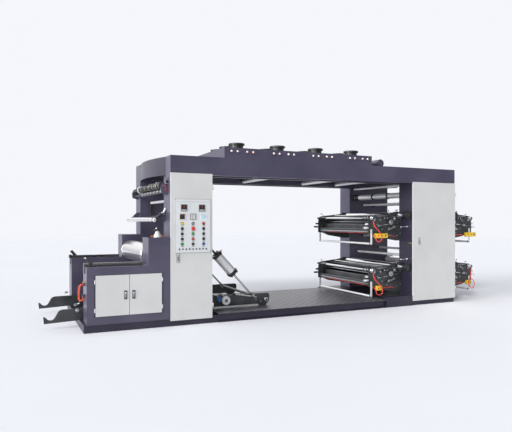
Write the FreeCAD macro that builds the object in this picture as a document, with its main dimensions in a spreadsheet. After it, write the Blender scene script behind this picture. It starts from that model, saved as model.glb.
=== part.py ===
import FreeCAD, Part
import math
import os
import Sketcher

doc = FreeCAD.newDocument("flexographic_press")

# Driving dimensions, in millimetres and degrees.
# Heights are above the floor; offsets along the press run from the left end of the base.
sizes = {
    "body_length": 6240,
    "body_depth": 2150,
    "housing_depth": 340,
    "plinth_height": 100,
    "plinth_setback": 20,
    "plinth_skin": 10,
    "plinth_flange": 90,
    "left_plinth_length": 1810,
    "right_plinth_length": 1485,
    "sill_height": 168,
    "sill_depth": 70,
    "anchor_inset": 55,
    "anchor_radius": 11,
    "channel_height": 121,
    "channel_depth": 50,
    "channel_plate": 9,
    "crossmember_width": 70,
    "walkway_plate": 6,
    "control_offset": 1117,
    "control_width": 596,
    "gear_width": 942,
    "cabinet_top": 2085,
    "cabinet_sheet": 6,
    "side_frame_plate": 20,
    "cabinet_rim": 25,
    "far_frame_top": 2350,
    "far_cover_thickness": 25,
    "far_cover_margin": 40,
    "door_thickness": 25,
    "door_proud": 12,
    "door_gap": 5,
    "door_bottom": 77,
    "door_height": 2000,
    "hinge_radius": 8,
    "hinge_pin_radius": 4,
    "hinge_length": 50,
    "hinge_ear": 10,
    "hinge_setout": 10,
    "hinge_inset": 180,
    "latch_width": 24,
    "latch_height": 118,
    "latch_proud": 6,
    "control_latch_offset": 100,
    "control_latch_height": 866,
    "gear_latch_offset": 130,
    "gear_latch_height": 1020,
    "panel_offset": 54,
    "panel_width": 514,
    "panel_bottom": 989,
    "panel_height": 734,
    "panel_proud": 8,
    "controller_side": 96,
    "controller_proud": 10,
    "controller_row": 1602,
    "meter_row": 1481,
    "meter_side": 84,
    "button_radius": 15,
    "button_length": 16,
    "button_row": 1388,
    "button_row_pitch": 70,
    "button_column": 104,
    "button_column_pitch": 153,
    "winder_offset": 34,
    "winder_top": 832,
    "shoulder_length": 299,
    "shoulder_top": 1200,
    "winder_door_left": 143,
    "winder_door_width": 424,
    "winder_door_split": 6,
    "winder_door_bottom": 205,
    "winder_door_height": 522,
    "winder_door_thickness": 20,
    "winder_door_proud": 8,
    "winder_hinge_inset": 80,
    "winder_latch_height": 65,
    "winder_latch_inset": 50,
    "winder_cavity_depth": 280,
    "winder_cavity_margin": 20,
    "recess_margin": 21,
    "beam_top": 2315,
    "far_beam_width": 310,
    "beam_lip_drop": 27,
    "beam_lip_width": 40,
    "hood_offset": 1899,
    "hood_length": 2552,
    "hood_height": 150,
    "canopy_start": 240,
    "canopy_chord": 1460,
    "canopy_bulge": 122,
    "canopy_sheet": 8,
    "cover_sheet": 6,
    "soffit_rise": 60,
    "collar_row_first": 200,
    "collar_row_pitch": 380,
    "collar_radius": 119,
    "collar_neck_radius": 98,
    "collar_height": 95,
    "collar_rim": 30,
    "knob_radius": 17,
    "knob_length": 26,
    "knob_stem": 14,
    "knob_height": 2410,
    "blower_gap": 319,
    "blower_radius": 68,
    "blower_length": 300,
    "drum_offset": 955,
    "drum_height": 950,
    "drum_radius": 155,
    "drum_journal_radius": 30,
    "drum_end_gap": 30,
    "drum_bearing_radius": 88,
    "drum_bearing_thickness": 22,
    "journal_depth": 50,
    "pin_clearance": 0.3,
    "rail_length": 770,
    "rail_width": 50,
    "rail_height": 43,
    "rail_inset": 190,
    "rail_overhang": 14,
    "rail_hook": 92,
    "lever_plate": 14,
    "lift_pivot_offset": 1040,
    "lift_pivot_height": 200,
    "lift_arm_length": 1495,
    "lift_arm_low": 94,
    "lift_arm_high": 62,
    "lift_tip_low": 112,
    "lift_cup_radius": 60,
    "lift_arm_plate": 25,
    "lift_arm_inset": 410,
    "lift_shaft_radius": 30,
    "lever_beam_length": 1077,
    "lever_beam_height": 183,
    "lever_beam_lift": 23,
    "lever_shaft_offset": 2533,
    "lever_shaft_height": 284,
    "lever_shaft_radius": 20,
    "cylinder_lean": 42.8,
    "cylinder_rod_length": 460,
    "cylinder_barrel_length": 420,
    "cylinder_barrel_radius": 60,
    "cylinder_rod_radius": 16,
    "cylinder_eye_radius": 34,
    "cylinder_eye_width": 34,
    "cylinder_cap": 138,
    "cylinder_cap_length": 50,
    "cylinder_tail_length": 376,
    "cylinder_pin_radius": 14,
    "side_wheel_offset": 2072,
    "side_wheel_height": 238,
    "side_wheel_radius": 66,
    "side_wheel_width": 28,
    "crank_offset": 62,
    "crank_height": 1400,
    "crank_drop": 104,
    "regulator_offset": 1010,
    "regulator_setback": 268,
    "regulator_radius": 62,
    "regulator_height": 80,
    "lay_on_offset": 950,
    "lay_on_height": 1440,
    "lay_on_radius": 34,
    "lay_on_pivot_offset": 1090,
    "lay_on_pivot_height": 1530,
    "lay_on_arm_inset": 230,
    "lay_on_arm_plate": 16,
    "lay_on_arm_half": 18,
    "lay_on_pin_radius": 12,
    "nip_offset": 1045,
    "nip_height": 1910,
    "nip_radius": 48,
    "nip_steel_radius": 30,
    "nip_inset": 130,
    "nip_bracket_plate": 30,
    "dancer_offset": 1290,
    "dancer_height": 1720,
    "dancer_drop": 225,
    "dancer_radius": 22,
    "dancer_arm": 40,
    "idler_radius": 32,
    "idler_height": 2105,
    "idler_journal": 12,
    "idler_end_gap": 20,
    "guide_radius": 22,
    "sleeve_roller_radius": 50,
    "deck_rise": 880,
    "deck_plate": 25,
    "deck_inset": 280,
    "deck_reach": 700,
    "deck_foot": 204,
    "deck_belly": 262,
    "plate_cylinder_offset": 68,
    "plate_cylinder_height": 640,
    "plate_cylinder_radius": 50,
    "plate_journal_radius": 20,
    "coupling_radius": 62,
    "coupling_length": 100,
    "coupling_setback": 32,
    "running_gap": 5,
    "impression_radius": 46,
    "anilox_radius": 55,
    "anilox_offset": 164,
    "anilox_drop": 56,
    "fountain_radius": 50,
    "fountain_offset": 248,
    "fountain_drop": 123,
    "ink_journal_radius": 16,
    "tray_offset": 190,
    "tray_width": 410,
    "tray_height": 110,
    "tray_bottom": 375,
    "tray_wall": 5,
    "deck_beam_offset": 612,
    "deck_beam_width": 66,
    "deck_beam_bottom": 332,
    "deck_beam_height": 70,
    "deck_shaft_offset": 640,
    "deck_shaft_height": 590,
    "deck_shaft_radius": 18,
    "deck_shaft_near": 70,
    "deck_shaft_far": 100,
    "hanger_offset": 645,
    "hanger_foot": 140,
    "hanger_width": 30,
    "hanger_plate": 7,
    "lead_roller_radius": 18,
    "grip_radius": 12,
    "grip_length": 100,
    "grip_height": 425,
    "handwheel_radius": 62,
    "handwheel_width": 24,
    "pendant_height": 80,
    "pendant_depth": 60,
    "pendant_bottom": 250,
    "short_pendant": 112,
    "long_pendant": 250,
    "hose_diameter": 16,
    "spiral_diameter": 30,
    "spiral_setback": 200,
    "spiral_top": 600,
}
sheet = doc.addObject("Spreadsheet::Sheet", "Dim")
for row, (alias, number) in enumerate(sizes.items(), 1):
    sheet.set(f"A{row}", alias.replace("_", " "))
    sheet.set(f"B{row}", str(number))
    sheet.setAlias(f"B{row}", alias)
doc.recompute()


class Size:
    """A length with the sheet expression that gives it."""

    def __init__(self, text, value):
        self.text = text
        self.value = value

    def __add__(self, other):
        other = as_size(other)
        return Size(f"({self.text} + {other.text})", self.value + other.value)

    def __sub__(self, other):
        other = as_size(other)
        return Size(f"({self.text} - {other.text})", self.value - other.value)

    def __mul__(self, number):
        return Size(f"({self.text} * {number})", self.value * number)

    def __truediv__(self, number):
        return Size(f"({self.text} / {number})", self.value / number)

    def __neg__(self):
        return self * -1

    def __radd__(self, other):
        return as_size(other) + self

    def __rsub__(self, other):
        return as_size(other) - self

    __rmul__ = __mul__


def as_size(value):
    return value if isinstance(value, Size) else Size(f"{value:.6g}", float(value))


def size(alias):
    return Size(f"Dim.{alias}", float(sheet.get(alias)))


class Sizes:
    """The sheet's lengths by name."""

    def __getattr__(self, alias):
        return size(alias)


s = Sizes()


def bind(item, field, value):
    item.setExpression(field, as_size(value).text)


def place(item, x, y, z):
    for axis, value in zip("xyz", (x, y, z)):
        bind(item, f"Placement.Base.{axis}", value)
    return item


def block(x, y, z, along_x, along_y, along_z):
    item = doc.addObject("Part::Box", "Block")
    bind(item, "Length", along_x)
    bind(item, "Width", along_y)
    bind(item, "Height", along_z)
    return place(item, x, y, z)


turns = {
    "x": FreeCAD.Rotation(FreeCAD.Vector(0, 1, 0), 90),
    "y": FreeCAD.Rotation(FreeCAD.Vector(1, 0, 0), -90),
    "z": FreeCAD.Rotation(),
}


def rod(x, y, z, radius, length, along="y"):
    item = doc.addObject("Part::Cylinder", "Rod")
    bind(item, "Radius", radius)
    bind(item, "Height", length)
    item.Placement.Rotation = turns[along]
    return place(item, x, y, z)


def joined(items, name="Joined"):
    if len(items) == 1:
        return items[0]
    item = doc.addObject("Part::MultiFuse", name)
    item.Shapes = items
    item.Refine = True
    return item


def without(base, tools):
    item = doc.addObject("Part::Cut", "Cut")
    item.Base = base
    item.Tool = joined(tools)
    item.Refine = True
    return item


def group(items):
    item = doc.addObject("Part::Compound", "Group")
    item.Links = items
    return item


nodes = []


def node(name, item):
    """Names a finished sub-part, which is written to its own file."""
    item.Label = name
    nodes.append(item)
    return item


def origin_plane(body, role):
    return [f for f in body.Origin.OriginFeatures if f.Role == role][0]


def outline(body, role, points, arcs=None):
    """A closed sketch through points; arcs gives, for a point's number, the radius of an arc to the next point."""
    arcs = arcs or {}
    sketch = body.newObject("Sketcher::SketchObject", "Outline")
    sketch.AttachmentSupport = (origin_plane(body, role), "")
    sketch.MapMode = "FlatFace"
    points = [(as_size(a), as_size(b)) for a, b in points]
    spots = [FreeCAD.Vector(a.value, b.value, 0) for a, b in points]
    for i, spot in enumerate(spots):
        after = spots[(i + 1) % len(spots)]
        if i in arcs:
            sketch.addGeometry(left_arc(spot, after, arcs[i].value))
        else:
            sketch.addGeometry(Part.LineSegment(spot, after))
    for i, (a, b) in enumerate(points):
        start, end = (2, 1) if i in arcs else (1, 2)
        for kind, value in (("DistanceX", a), ("DistanceY", b)):
            number = sketch.addConstraint(Sketcher.Constraint(kind, -1, 1, i, start, value.value))
            sketch.setExpression(f"Constraints[{number}]", value.text)
        onward = (i + 1) % len(points)
        joint = Sketcher.Constraint("Coincident", i, end, onward, 2 if onward in arcs else 1)
        sketch.addConstraint(joint)
        if i in arcs:
            number = sketch.addConstraint(Sketcher.Constraint("Radius", i, arcs[i].value))
            sketch.setExpression(f"Constraints[{number}]", arcs[i].text)
    return sketch


def left_arc(start, end, radius):
    """The short arc of that radius that bulges to the left of the way from start to end."""
    chord = end - start
    side = FreeCAD.Vector(-chord.y, chord.x, 0).normalize()
    centre = start + chord / 2 - side * (radius**2 - (chord.Length / 2) ** 2) ** 0.5
    angles = [math.atan2(p.y - centre.y, p.x - centre.x) for p in (end, start)]
    if angles[1] < angles[0]:
        angles[1] += 2 * math.pi
    return Part.ArcOfCircle(Part.Circle(centre, FreeCAD.Vector(0, 0, 1), radius), *angles)


def padded(body, sketch, length, toward_back=False):
    pad = body.newObject("PartDesign::Pad", "Pad")
    pad.Profile = sketch
    bind(pad, "Length", length)
    pad.Reversed = toward_back
    sketch.Visibility = False
    return pad


def new_body(name):
    return doc.addObject("PartDesign::Body", name)


def profile(name, points, y_start, thickness, arcs=None):
    """A plate of that thickness, cut to an outline in the X-Z plane and standing at y_start."""
    body = new_body(name)
    padded(body, outline(body, "XZ_Plane", points, arcs), thickness, toward_back=True)
    return place(body, 0, y_start, 0)


def stub(x, y, z, radius, length, along="y", sides=12):
    """A short many-sided pin, such as a roller's journal or a knob."""
    item = doc.addObject("Part::Prism", "Stub")
    item.Polygon = sides
    bind(item, "Circumradius", radius)
    bind(item, "Height", length)
    item.Placement.Rotation = turns[along]
    return place(item, x, y, z)


# Planes that the sub-parts share.
left = -s.body_length / 2
right = s.body_length / 2
front = -s.body_depth / 2
back = s.body_depth / 2
near_inner = front + s.housing_depth
far_inner = back - s.housing_depth
frame_gap = far_inner - near_inner
bridge_back = far_inner
bridge_depth = bridge_back - front
far_beam_front = bridge_back - s.far_beam_width
walkway_top = s.channel_height + s.walkway_plate
walk_left = left + s.left_plinth_length
walk_right = right - s.right_plinth_length
control_left = left + s.control_offset
control_right = control_left + s.control_width
gear_left = right - s.gear_width
winder_left = left + s.winder_offset
shoulder_left = control_left - s.shoulder_length
hood_left = left + s.hood_offset
hood_top = s.beam_top + s.hood_height
door_face = front - s.door_proud
cabinet_face = door_face + s.door_thickness + s.door_gap


def plinth(x_start, length):
    """A welded base box: skins on top and at the sides, an open underside and an anchor flange."""
    depth = s.body_depth - 2 * s.plinth_setback
    y_start = front + s.plinth_setback
    skin, flange = s.plinth_skin, s.plinth_flange
    shell = block(x_start, y_start, 0, length, depth, s.plinth_height)
    inside = block(
        x_start + skin, y_start + skin, skin, length - 2 * skin, depth - 2 * skin, s.plinth_height - 2 * skin
    )
    below = block(x_start + flange, y_start + flange, 0, length - 2 * flange, depth - 2 * flange, skin)
    return shell, [inside, below]


def anchor_holes(x):
    inset = s.plinth_setback + s.anchor_inset
    return [rod(x, y, 0, s.anchor_radius, s.plinth_skin, "z") for y in (front + inset, back - inset)]


def make_base():
    shell, hollows = plinth(left, s.left_plinth_length)
    node("left_plinth", without(shell, hollows + anchor_holes(left + s.anchor_inset)))
    shell, hollows = plinth(walk_right, s.right_plinth_length)
    box = without(shell, hollows + anchor_holes(right - s.anchor_inset))
    sill_length = gear_left - walk_right
    apron = block(walk_right, front, 0, sill_length, s.plinth_setback, s.sill_height)
    sill = block(
        walk_right, front, s.plinth_height, sill_length, s.sill_depth, s.sill_height - s.plinth_height
    )
    node("right_plinth", joined([box, apron, sill]))
    length = walk_right - walk_left
    pieces = [base_channel(front, 1, length), base_channel(bridge_back, -1, length)]
    span = bridge_depth - 2 * s.channel_depth
    for k in (-2, -1, 0, 1, 2):
        x = length / 5.4 * k - s.crossmember_width / 2
        pieces.append(block(x, front + s.channel_depth, 0, s.crossmember_width, span, s.channel_height))
    node("walkway_frame", joined(pieces))
    node(
        "walkway_plate",
        block(walk_left, front, s.channel_height, length, bridge_depth, s.walkway_plate),
    )


def base_channel(y_web_side, inward, length):
    """One of the two long channels under the walkway, with its flanges facing out."""
    body = new_body("Channel")
    depth, plate = s.channel_depth * inward, s.channel_plate * inward
    height, flange = s.channel_height, s.channel_plate
    points = [
        (0, 0),
        (depth, 0),
        (depth, height),
        (0, height),
        (0, height - flange),
        (depth - plate, height - flange),
        (depth - plate, flange),
        (0, flange),
    ]
    padded(body, outline(body, "YZ_Plane", points), length)
    return place(body, walk_left, y_web_side, 0)


def hinge_seats(x, y, heights, seat_y, seat_x):
    """The fixed halves of two lift-off hinges: a pin on an ear, which reaches back to seat_y beside seat_x."""
    pieces = []
    radius = s.hinge_radius
    width = radius + s.hinge_setout
    for z in heights:
        low = z - s.hinge_length / 2 - 1
        pieces.append(rod(x, y, low, s.hinge_pin_radius, s.hinge_length, "z"))
        pieces.append(rod(x, y, low - s.hinge_ear, radius, s.hinge_ear, "z"))
        pieces.append(block(x - radius, y, low - s.hinge_ear, 2 * radius, seat_y - y, s.hinge_ear))
        start = x - radius if seat_x > 0 else x + radius - width
        pieces.append(block(start, seat_y, low - s.hinge_ear, width, 3 * radius, s.hinge_ear))
    return pieces


def hinge_knuckles(x, y, heights, side):
    """A door's two knuckles with their leaves, and the bores through them; side is 1 where the door lies to +X."""
    solids, bores = [], []
    leaf = 2 * s.hinge_radius
    for z in heights:
        start = z - s.hinge_length / 2
        solids.append(rod(x, y, start, s.hinge_radius, s.hinge_length, "z"))
        solids.append(block(x if side > 0 else x - leaf, y, start, leaf, s.hinge_pin_radius, s.hinge_length))
        bores.append(rod(x, y, start, s.hinge_pin_radius + s.pin_clearance, s.hinge_length, "z"))
    return solids, bores


def tall_hinges():
    return s.door_bottom + s.hinge_inset, s.door_bottom + s.door_height - s.hinge_inset


def cabinet(x_start, width, name):
    """A sheet-metal housing open at the front, with the thick plate that carries the rollers at its back."""
    skin, rim = s.cabinet_sheet, s.cabinet_rim
    bottom, height = s.plinth_height, s.cabinet_top - s.plinth_height
    depth = near_inner - cabinet_face
    shell = block(x_start, cabinet_face, bottom, width, depth, height)
    inside = block(
        x_start + skin,
        cabinet_face + skin,
        bottom + skin,
        width - 2 * skin,
        depth - skin - s.side_frame_plate,
        height - 2 * skin,
    )
    mouth = block(x_start + rim, cabinet_face, bottom + rim, width - 2 * rim, skin, height - 2 * rim)
    hinge_x = x_start + width + s.hinge_setout
    seats = hinge_seats(hinge_x, door_face + s.hinge_pin_radius, tall_hinges(), cabinet_face, -1)
    node(name, joined([without(shell, [inside, mouth])] + seats))


def tall_door(x_start, width, name, latch_x, latch_z):
    slab = block(x_start, door_face, s.door_bottom, width, s.door_thickness, s.door_height)
    latch = block(latch_x, door_face - s.latch_proud, latch_z, s.latch_width, s.latch_proud, s.latch_height)
    hinge_x = x_start + width + s.hinge_setout
    knuckles, bores = hinge_knuckles(hinge_x, door_face + s.hinge_pin_radius, tall_hinges(), -1)
    node(name, without(joined([slab, latch] + knuckles), bores))


def far_frame(x_start, width, name):
    """A closed side housing on the drive side, with a screwed cover on its outer face."""
    depth = s.housing_depth - s.plinth_setback
    height = s.far_frame_top - s.plinth_height
    margin = s.far_cover_margin
    housing = block(x_start, far_inner, s.plinth_height, width, depth, height)
    cover = block(
        x_start + margin / 4,
        far_inner + depth,
        s.plinth_height + margin,
        width - margin / 2,
        s.far_cover_thickness,
        height - 2 * margin,
    )
    node(name, joined([housing, cover]))


def make_cabinets():
    cabinet(control_left, s.control_width, "control_cabinet")
    cabinet(gear_left, s.gear_width, "gear_cabinet")
    tall_door(
        control_left,
        s.control_width,
        "control_door",
        control_left + s.control_latch_offset - s.latch_width / 2,
        s.control_latch_height,
    )
    tall_door(
        gear_left,
        s.gear_width,
        "gear_door",
        gear_left + s.gear_latch_offset - s.latch_width / 2,
        s.gear_latch_height,
    )
    far_frame(control_left, s.control_width, "far_left_frame")
    far_frame(gear_left, s.gear_width, "far_right_frame")


def make_control_panel():
    panel_left = control_left + s.panel_offset
    face = door_face - s.panel_proud
    node(
        "control_panel",
        block(panel_left, face, s.panel_bottom, s.panel_width, s.panel_proud, s.panel_height),
    )
    pieces = []
    half = s.controller_side / 2
    middle = panel_left + s.panel_width / 2
    for x in (middle - 128, middle + 128):
        pieces.append(instrument(x, s.controller_row, half, face))
    columns = [panel_left + s.button_column + s.button_column_pitch * k for k in (0, 1, 2)]
    for x in columns:
        pieces.append(instrument(x, s.meter_row, s.meter_side / 2, face))
        for row in range(5):
            z = s.button_row - s.button_row_pitch * row
            radius = s.button_radius * (1.5 if row == 1 and x is columns[1] else 1)
            pieces.append(stub(x, face - s.button_length, z, radius, s.button_length))
    node("panel_controls", group(pieces))


def instrument(x, z, half, face):
    proud = s.controller_proud
    return block(x - half, face - proud, z - half, 2 * half, proud, 2 * half)


def winder_hinges():
    inset = s.winder_hinge_inset
    return s.winder_door_bottom + inset, s.winder_door_bottom + s.winder_door_height - inset


def winder_frame(name, y_start, near):
    """The stepped side housing of the winder: a long low box with a shoulder that carries the drum."""
    points = [
        (winder_left, s.plinth_height),
        (control_left, s.plinth_height),
        (control_left, s.shoulder_top),
        (shoulder_left, s.shoulder_top),
        (shoulder_left, s.winder_top),
        (winder_left, s.winder_top),
    ]
    body = profile("Housing", points, y_start, s.housing_depth)
    y_bore = near_inner - s.journal_depth if near else far_inner
    clearance = s.pin_clearance
    tools = [
        rod(left + s.drum_offset, y_bore, s.drum_height, s.drum_journal_radius + clearance, s.journal_depth),
        rod(
            left + s.lift_pivot_offset,
            y_bore,
            s.lift_pivot_height,
            s.lift_shaft_radius + clearance,
            s.journal_depth,
        ),
    ]
    doors_x = left + s.winder_door_left
    doors_width = 2 * s.winder_door_width + s.winder_door_split
    if not near:
        cover = block(
            doors_x, back, s.winder_door_bottom, doors_width, s.winder_door_proud, s.winder_door_height
        )
        node(name, joined([without(body, tools), cover]))
        return
    gap, margin, inset = s.door_gap, s.recess_margin, s.winder_cavity_margin
    recess_depth = s.winder_door_thickness - s.winder_door_proud + gap
    tools.append(
        block(
            doors_x - margin,
            front,
            s.winder_door_bottom - gap,
            doors_width + 2 * margin,
            recess_depth,
            s.winder_door_height + 2 * gap,
        )
    )
    tools.append(
        block(
            doors_x + inset,
            front,
            s.winder_door_bottom + inset,
            doors_width - 2 * inset,
            s.winder_cavity_depth,
            s.winder_door_height - 2 * inset,
        )
    )
    y_hinge = front - s.winder_door_proud + s.hinge_pin_radius
    seats = []
    for x in (doors_x - s.hinge_setout, doors_x + doors_width + s.hinge_setout):
        for z in winder_hinges():
            low = z - s.hinge_length / 2 - 1
            radius = s.hinge_radius
            seats.append(rod(x, y_hinge, low, s.hinge_pin_radius, s.hinge_length, "z"))
            seats.append(rod(x, y_hinge, low - s.hinge_ear, radius, s.hinge_ear, "z"))
            reach = front + recess_depth - y_hinge
            seats.append(block(x - radius, y_hinge, low - s.hinge_ear, 2 * radius, reach, s.hinge_ear))
    for start, height, reach in spiral_fittings():
        y = front + s.spiral_setback - s.spiral_diameter / 2 - 2
        width = s.spiral_diameter + 4
        seats.append(block(winder_left - reach, y, start, reach, width, height))
    node(name, joined([without(body, tools)] + seats))


def spiral_fittings():
    """The two fittings on the winder's outer end, each as its lower edge, height and reach."""
    side = s.spiral_diameter + 4
    return (s.spiral_top - side / 2, side, 17), (s.spiral_top - 155, 30, side)


def make_winder():
    winder_frame("near_winder_frame", front, True)
    winder_frame("far_winder_frame", far_inner, False)
    width, setout = s.winder_door_width, s.hinge_setout
    left_x = left + s.winder_door_left
    right_x = left_x + width + s.winder_door_split
    inset = s.winder_latch_inset
    winder_door("winder_door_left", left_x, left_x - setout, left_x + width - inset, 1)
    winder_door("winder_door_right", right_x, right_x + width + setout, right_x + inset, -1)
    drum_x, z = left + s.drum_offset, s.drum_height
    gap, depth = s.drum_end_gap, s.journal_depth - s.running_gap
    node(
        "winding_drum",
        joined(
            [
                rod(drum_x, near_inner + gap, z, s.drum_radius, frame_gap - 2 * gap),
                rod(drum_x, near_inner - depth, z, s.drum_journal_radius, frame_gap + 2 * depth),
            ]
        ),
    )
    bearings = []
    thickness = s.drum_bearing_thickness
    for y in (near_inner, far_inner - thickness):
        ring = rod(drum_x, y, z, s.drum_bearing_radius, thickness)
        bearings.append(without(ring, [rod(drum_x, y, z, s.drum_journal_radius + s.pin_clearance, thickness)]))
    node("drum_bearings", group(bearings))


def winder_door(name, x_start, hinge_x, latch_x, side):
    y_face = front - s.winder_door_proud
    slab = block(
        x_start, y_face, s.winder_door_bottom, s.winder_door_width, s.winder_door_thickness, s.winder_door_height
    )
    latch_z = s.winder_door_bottom + (s.winder_door_height - s.winder_latch_height) / 2
    latch = block(
        latch_x - s.latch_width / 2,
        y_face - s.latch_proud,
        latch_z,
        s.latch_width,
        s.latch_proud,
        s.winder_latch_height,
    )
    knuckles, bores = hinge_knuckles(hinge_x, y_face + s.hinge_pin_radius, winder_hinges(), side)
    node(name, without(joined([slab, latch] + knuckles), bores))


def make_rails():
    """The rails on which a full reel rolls out, with their stops and the clamping levers beside them."""
    start, top = winder_left - s.rail_overhang, s.winder_top
    rails, levers = [], []
    y_near = front + s.rail_inset
    y_far = back - s.rail_inset - s.rail_width
    hook = s.rail_hook
    for y in (y_near, y_far):
        rail = block(start, y, top, s.rail_length, s.rail_width, s.rail_height)
        end = block(start, y, top - hook, s.rail_overhang, s.rail_width, hook)
        rails.append(joined([rail, end]))
    node("reel_rails", group(rails))
    lever = [
        (winder_left + 76, top),
        (winder_left + 136, top),
        (winder_left + 22, top + 116),
        (winder_left + 2, top + 104),
    ]
    for y in (y_near - 3 * s.lever_plate, y_far + s.rail_width + 2 * s.lever_plate):
        levers.append(profile("Lever", lever, y, s.lever_plate))
    node("reel_levers", group(levers))


def lift_arm(y_start):
    """One reel arm: a plate whose outer end drops to a hooked cup."""
    x, z = left + s.lift_pivot_offset, s.lift_pivot_height
    tip = x - s.lift_arm_length
    low, high, foot = z - s.lift_arm_low, z + s.lift_arm_high, z - s.lift_tip_low
    points = [
        (tip + 10, foot),
        (left - 20, low),
        (x - 40, low),
        (x + 30, z - 60),
        (x + 30, high),
        (tip + 235, high),
        (tip + 190, high - 17),
        (tip + 142, low + 54),
        (tip + 38, low + 54),
        (tip + 14, low + 72),
        (tip, low + 70),
    ]
    arm = profile("Arm", points, y_start, s.lift_arm_plate, {7: s.lift_cup_radius})
    return arm


def make_lift():
    """The pair of reel arms on their cross shaft, with a locking boss near each outer end."""
    x, z = left + s.lift_pivot_offset, s.lift_pivot_height
    depth = s.journal_depth - s.running_gap
    y_near = front + s.lift_arm_inset
    y_far = back - s.lift_arm_inset - s.lift_arm_plate
    pieces = [rod(x, near_inner - depth, z, s.lift_shaft_radius, frame_gap + 2 * depth)]
    for y in (y_near, y_far):
        pieces.append(lift_arm(y))
        boss_x = left - s.winder_offset
        pieces.append(stub(boss_x, y - 8, z + 40, 26, s.lift_arm_plate + 16))
    node("lift_arms", joined(pieces))


def make_levers():
    """The lever beams that the air cylinders push, joined by a cross shaft through both rod eyes."""
    beams = []
    end = control_right + 17 + s.lever_beam_length
    foot, top = walkway_top, walkway_top + s.lever_beam_height
    lift = foot + s.lever_beam_lift
    points = [
        (control_right + 17, foot),
        (control_right + 150, foot),
        (control_right + 170, lift),
        (end - 190, lift),
        (end - 170, foot),
        (end - 60, foot),
        (end, foot + 70),
        (end, top - 25),
        (end - 22, top),
        (control_right + 17, top),
    ]
    x, z = left + s.lever_shaft_offset, s.lever_shaft_height
    y_near, y_far = front + s.lift_arm_inset, back - s.lift_arm_inset - s.lift_arm_plate
    for y in (y_near, y_far):
        beams.append(profile("LeverBeam", points, y, s.lift_arm_plate))
        beams.append(rod(end - 56, y - 10, foot + 84, 34, s.lift_arm_plate + 20))
    beams.append(rod(x, y_near, z, s.lever_shaft_radius, y_far + s.lift_arm_plate - y_near))
    node("lever_beams", joined(beams))


def air_cylinder(y, pin_y, pin_length):
    """A tie-rod air cylinder leaning back from its rod eye to a pin on the side frame."""
    cap, cap_length = s.cylinder_cap, s.cylinder_cap_length
    start, barrel = s.cylinder_rod_length, s.cylinder_barrel_length
    top = start + barrel + s.cylinder_tail_length
    width = s.cylinder_eye_width
    eye = without(
        joined([rod(0, -width / 2, 0, s.cylinder_eye_radius, width), stub(0, 0, 0, s.cylinder_rod_radius, start, "z")]),
        [rod(0, -width / 2, 0, s.lever_shaft_radius + s.pin_clearance, width)],
    )
    pieces = [
        eye,
        rod(0, 0, start, s.cylinder_barrel_radius, barrel, "z"),
        block(-cap / 2, -cap / 2, start, cap, cap, cap_length),
        block(-cap / 2, -cap / 2, start + barrel - cap_length, cap, cap, cap_length),
        stub(0, 0, start + barrel, s.cylinder_rod_radius, s.cylinder_tail_length, "z"),
        stub(0, -width / 2, top, s.cylinder_eye_radius, width),
        stub(0, pin_y - y, top, s.cylinder_pin_radius, pin_length),
    ]
    corner = cap / 2 - 14
    for a in (-1, 1):
        for b in (-1, 1):
            pieces.append(stub(corner * a, corner * b, start, 7, barrel, "z", 6))
    item = joined(pieces)
    item.Placement.Rotation = FreeCAD.Rotation(FreeCAD.Vector(0, 1, 0), -float(sheet.get("cylinder_lean")))
    return place(item, left + s.lever_shaft_offset, y, s.lever_shaft_height)


def make_air_cylinders():
    offset = s.lift_arm_inset + s.lift_arm_plate + s.cylinder_eye_width / 2 + 2
    y_near, y_far = front + offset, back - offset
    reach = y_near - near_inner
    node(
        "air_cylinders",
        group([air_cylinder(y_near, near_inner, reach), air_cylinder(y_far, y_far, far_inner - y_far)]),
    )


def make_side_wheel():
    """The small gearmotor with its pale wheel on the near lever beam, which shifts the reel sideways."""
    x, z = left + s.side_wheel_offset, s.side_wheel_height
    beam = front + s.lift_arm_inset
    width = s.side_wheel_width
    wheel = rod(x, beam - 22 - width, z, s.side_wheel_radius, width)
    hub = rod(x, beam - 22, z, 18, 22)
    plate = block(x - 150, beam - 6, z - 24, 170, 6, 80)
    motor = rod(x - 108, beam - 76, z + 20, 32, 70)
    node("side_lay_drive", joined([wheel, hub, plate, motor]))


def make_column_fittings():
    """A crank on the control cabinet's inner end, and the tension regulator on the winder's shoulder."""
    y = front + s.housing_depth / 2
    z = s.crank_height
    end = control_right + s.crank_offset
    node(
        "side_crank",
        joined(
            [
                stub(control_right, y, z, 14, s.crank_offset, "x"),
                rod(end - 10, y, z - s.crank_drop, 6, s.crank_drop, "z"),
                stub(end - 10, y, z - s.crank_drop - 14, 14, 28, "z"),
            ]
        ),
    )
    x, y = left + s.regulator_offset, front + s.regulator_setback
    radius, height, foot = s.regulator_radius, s.regulator_height, 14
    cone = doc.addObject("Part::Cone", "RegulatorHousing")
    bind(cone, "Radius1", radius - 4)
    bind(cone, "Radius2", 24)
    bind(cone, "Height", height - foot)
    place(cone, x, y, s.shoulder_top + foot)
    disc = stub(x, y, s.shoulder_top, radius, foot, "z", 20)
    base = s.shoulder_top + height
    wheel = stub(x, y, base, 14, 30, "z")
    rim = without(stub(x, y, base + 12, 55, 16, "z", 16), [stub(x, y, base + 12, 38, 16, "z", 16)])
    spoke = block(x - 44, y - 6, base + 14, 88, 12, 12)
    node("tension_regulator", joined([disc, cone, wheel, rim, spoke]))


def bridge_beam(y_start, width):
    """One side of the bridge: a deep box with two small lips under its middle span."""
    bottom, height = s.cabinet_top, s.beam_top - s.cabinet_top
    drop, lip = s.beam_lip_drop, s.beam_lip_width
    span = gear_left - control_right
    return joined(
        [
            block(control_left, y_start, bottom, right - control_left, width, height),
            block(control_right, y_start, bottom - drop, span, lip, drop),
            block(control_right, y_start + width - lip, bottom - drop, span, lip, drop),
        ]
    )


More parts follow.
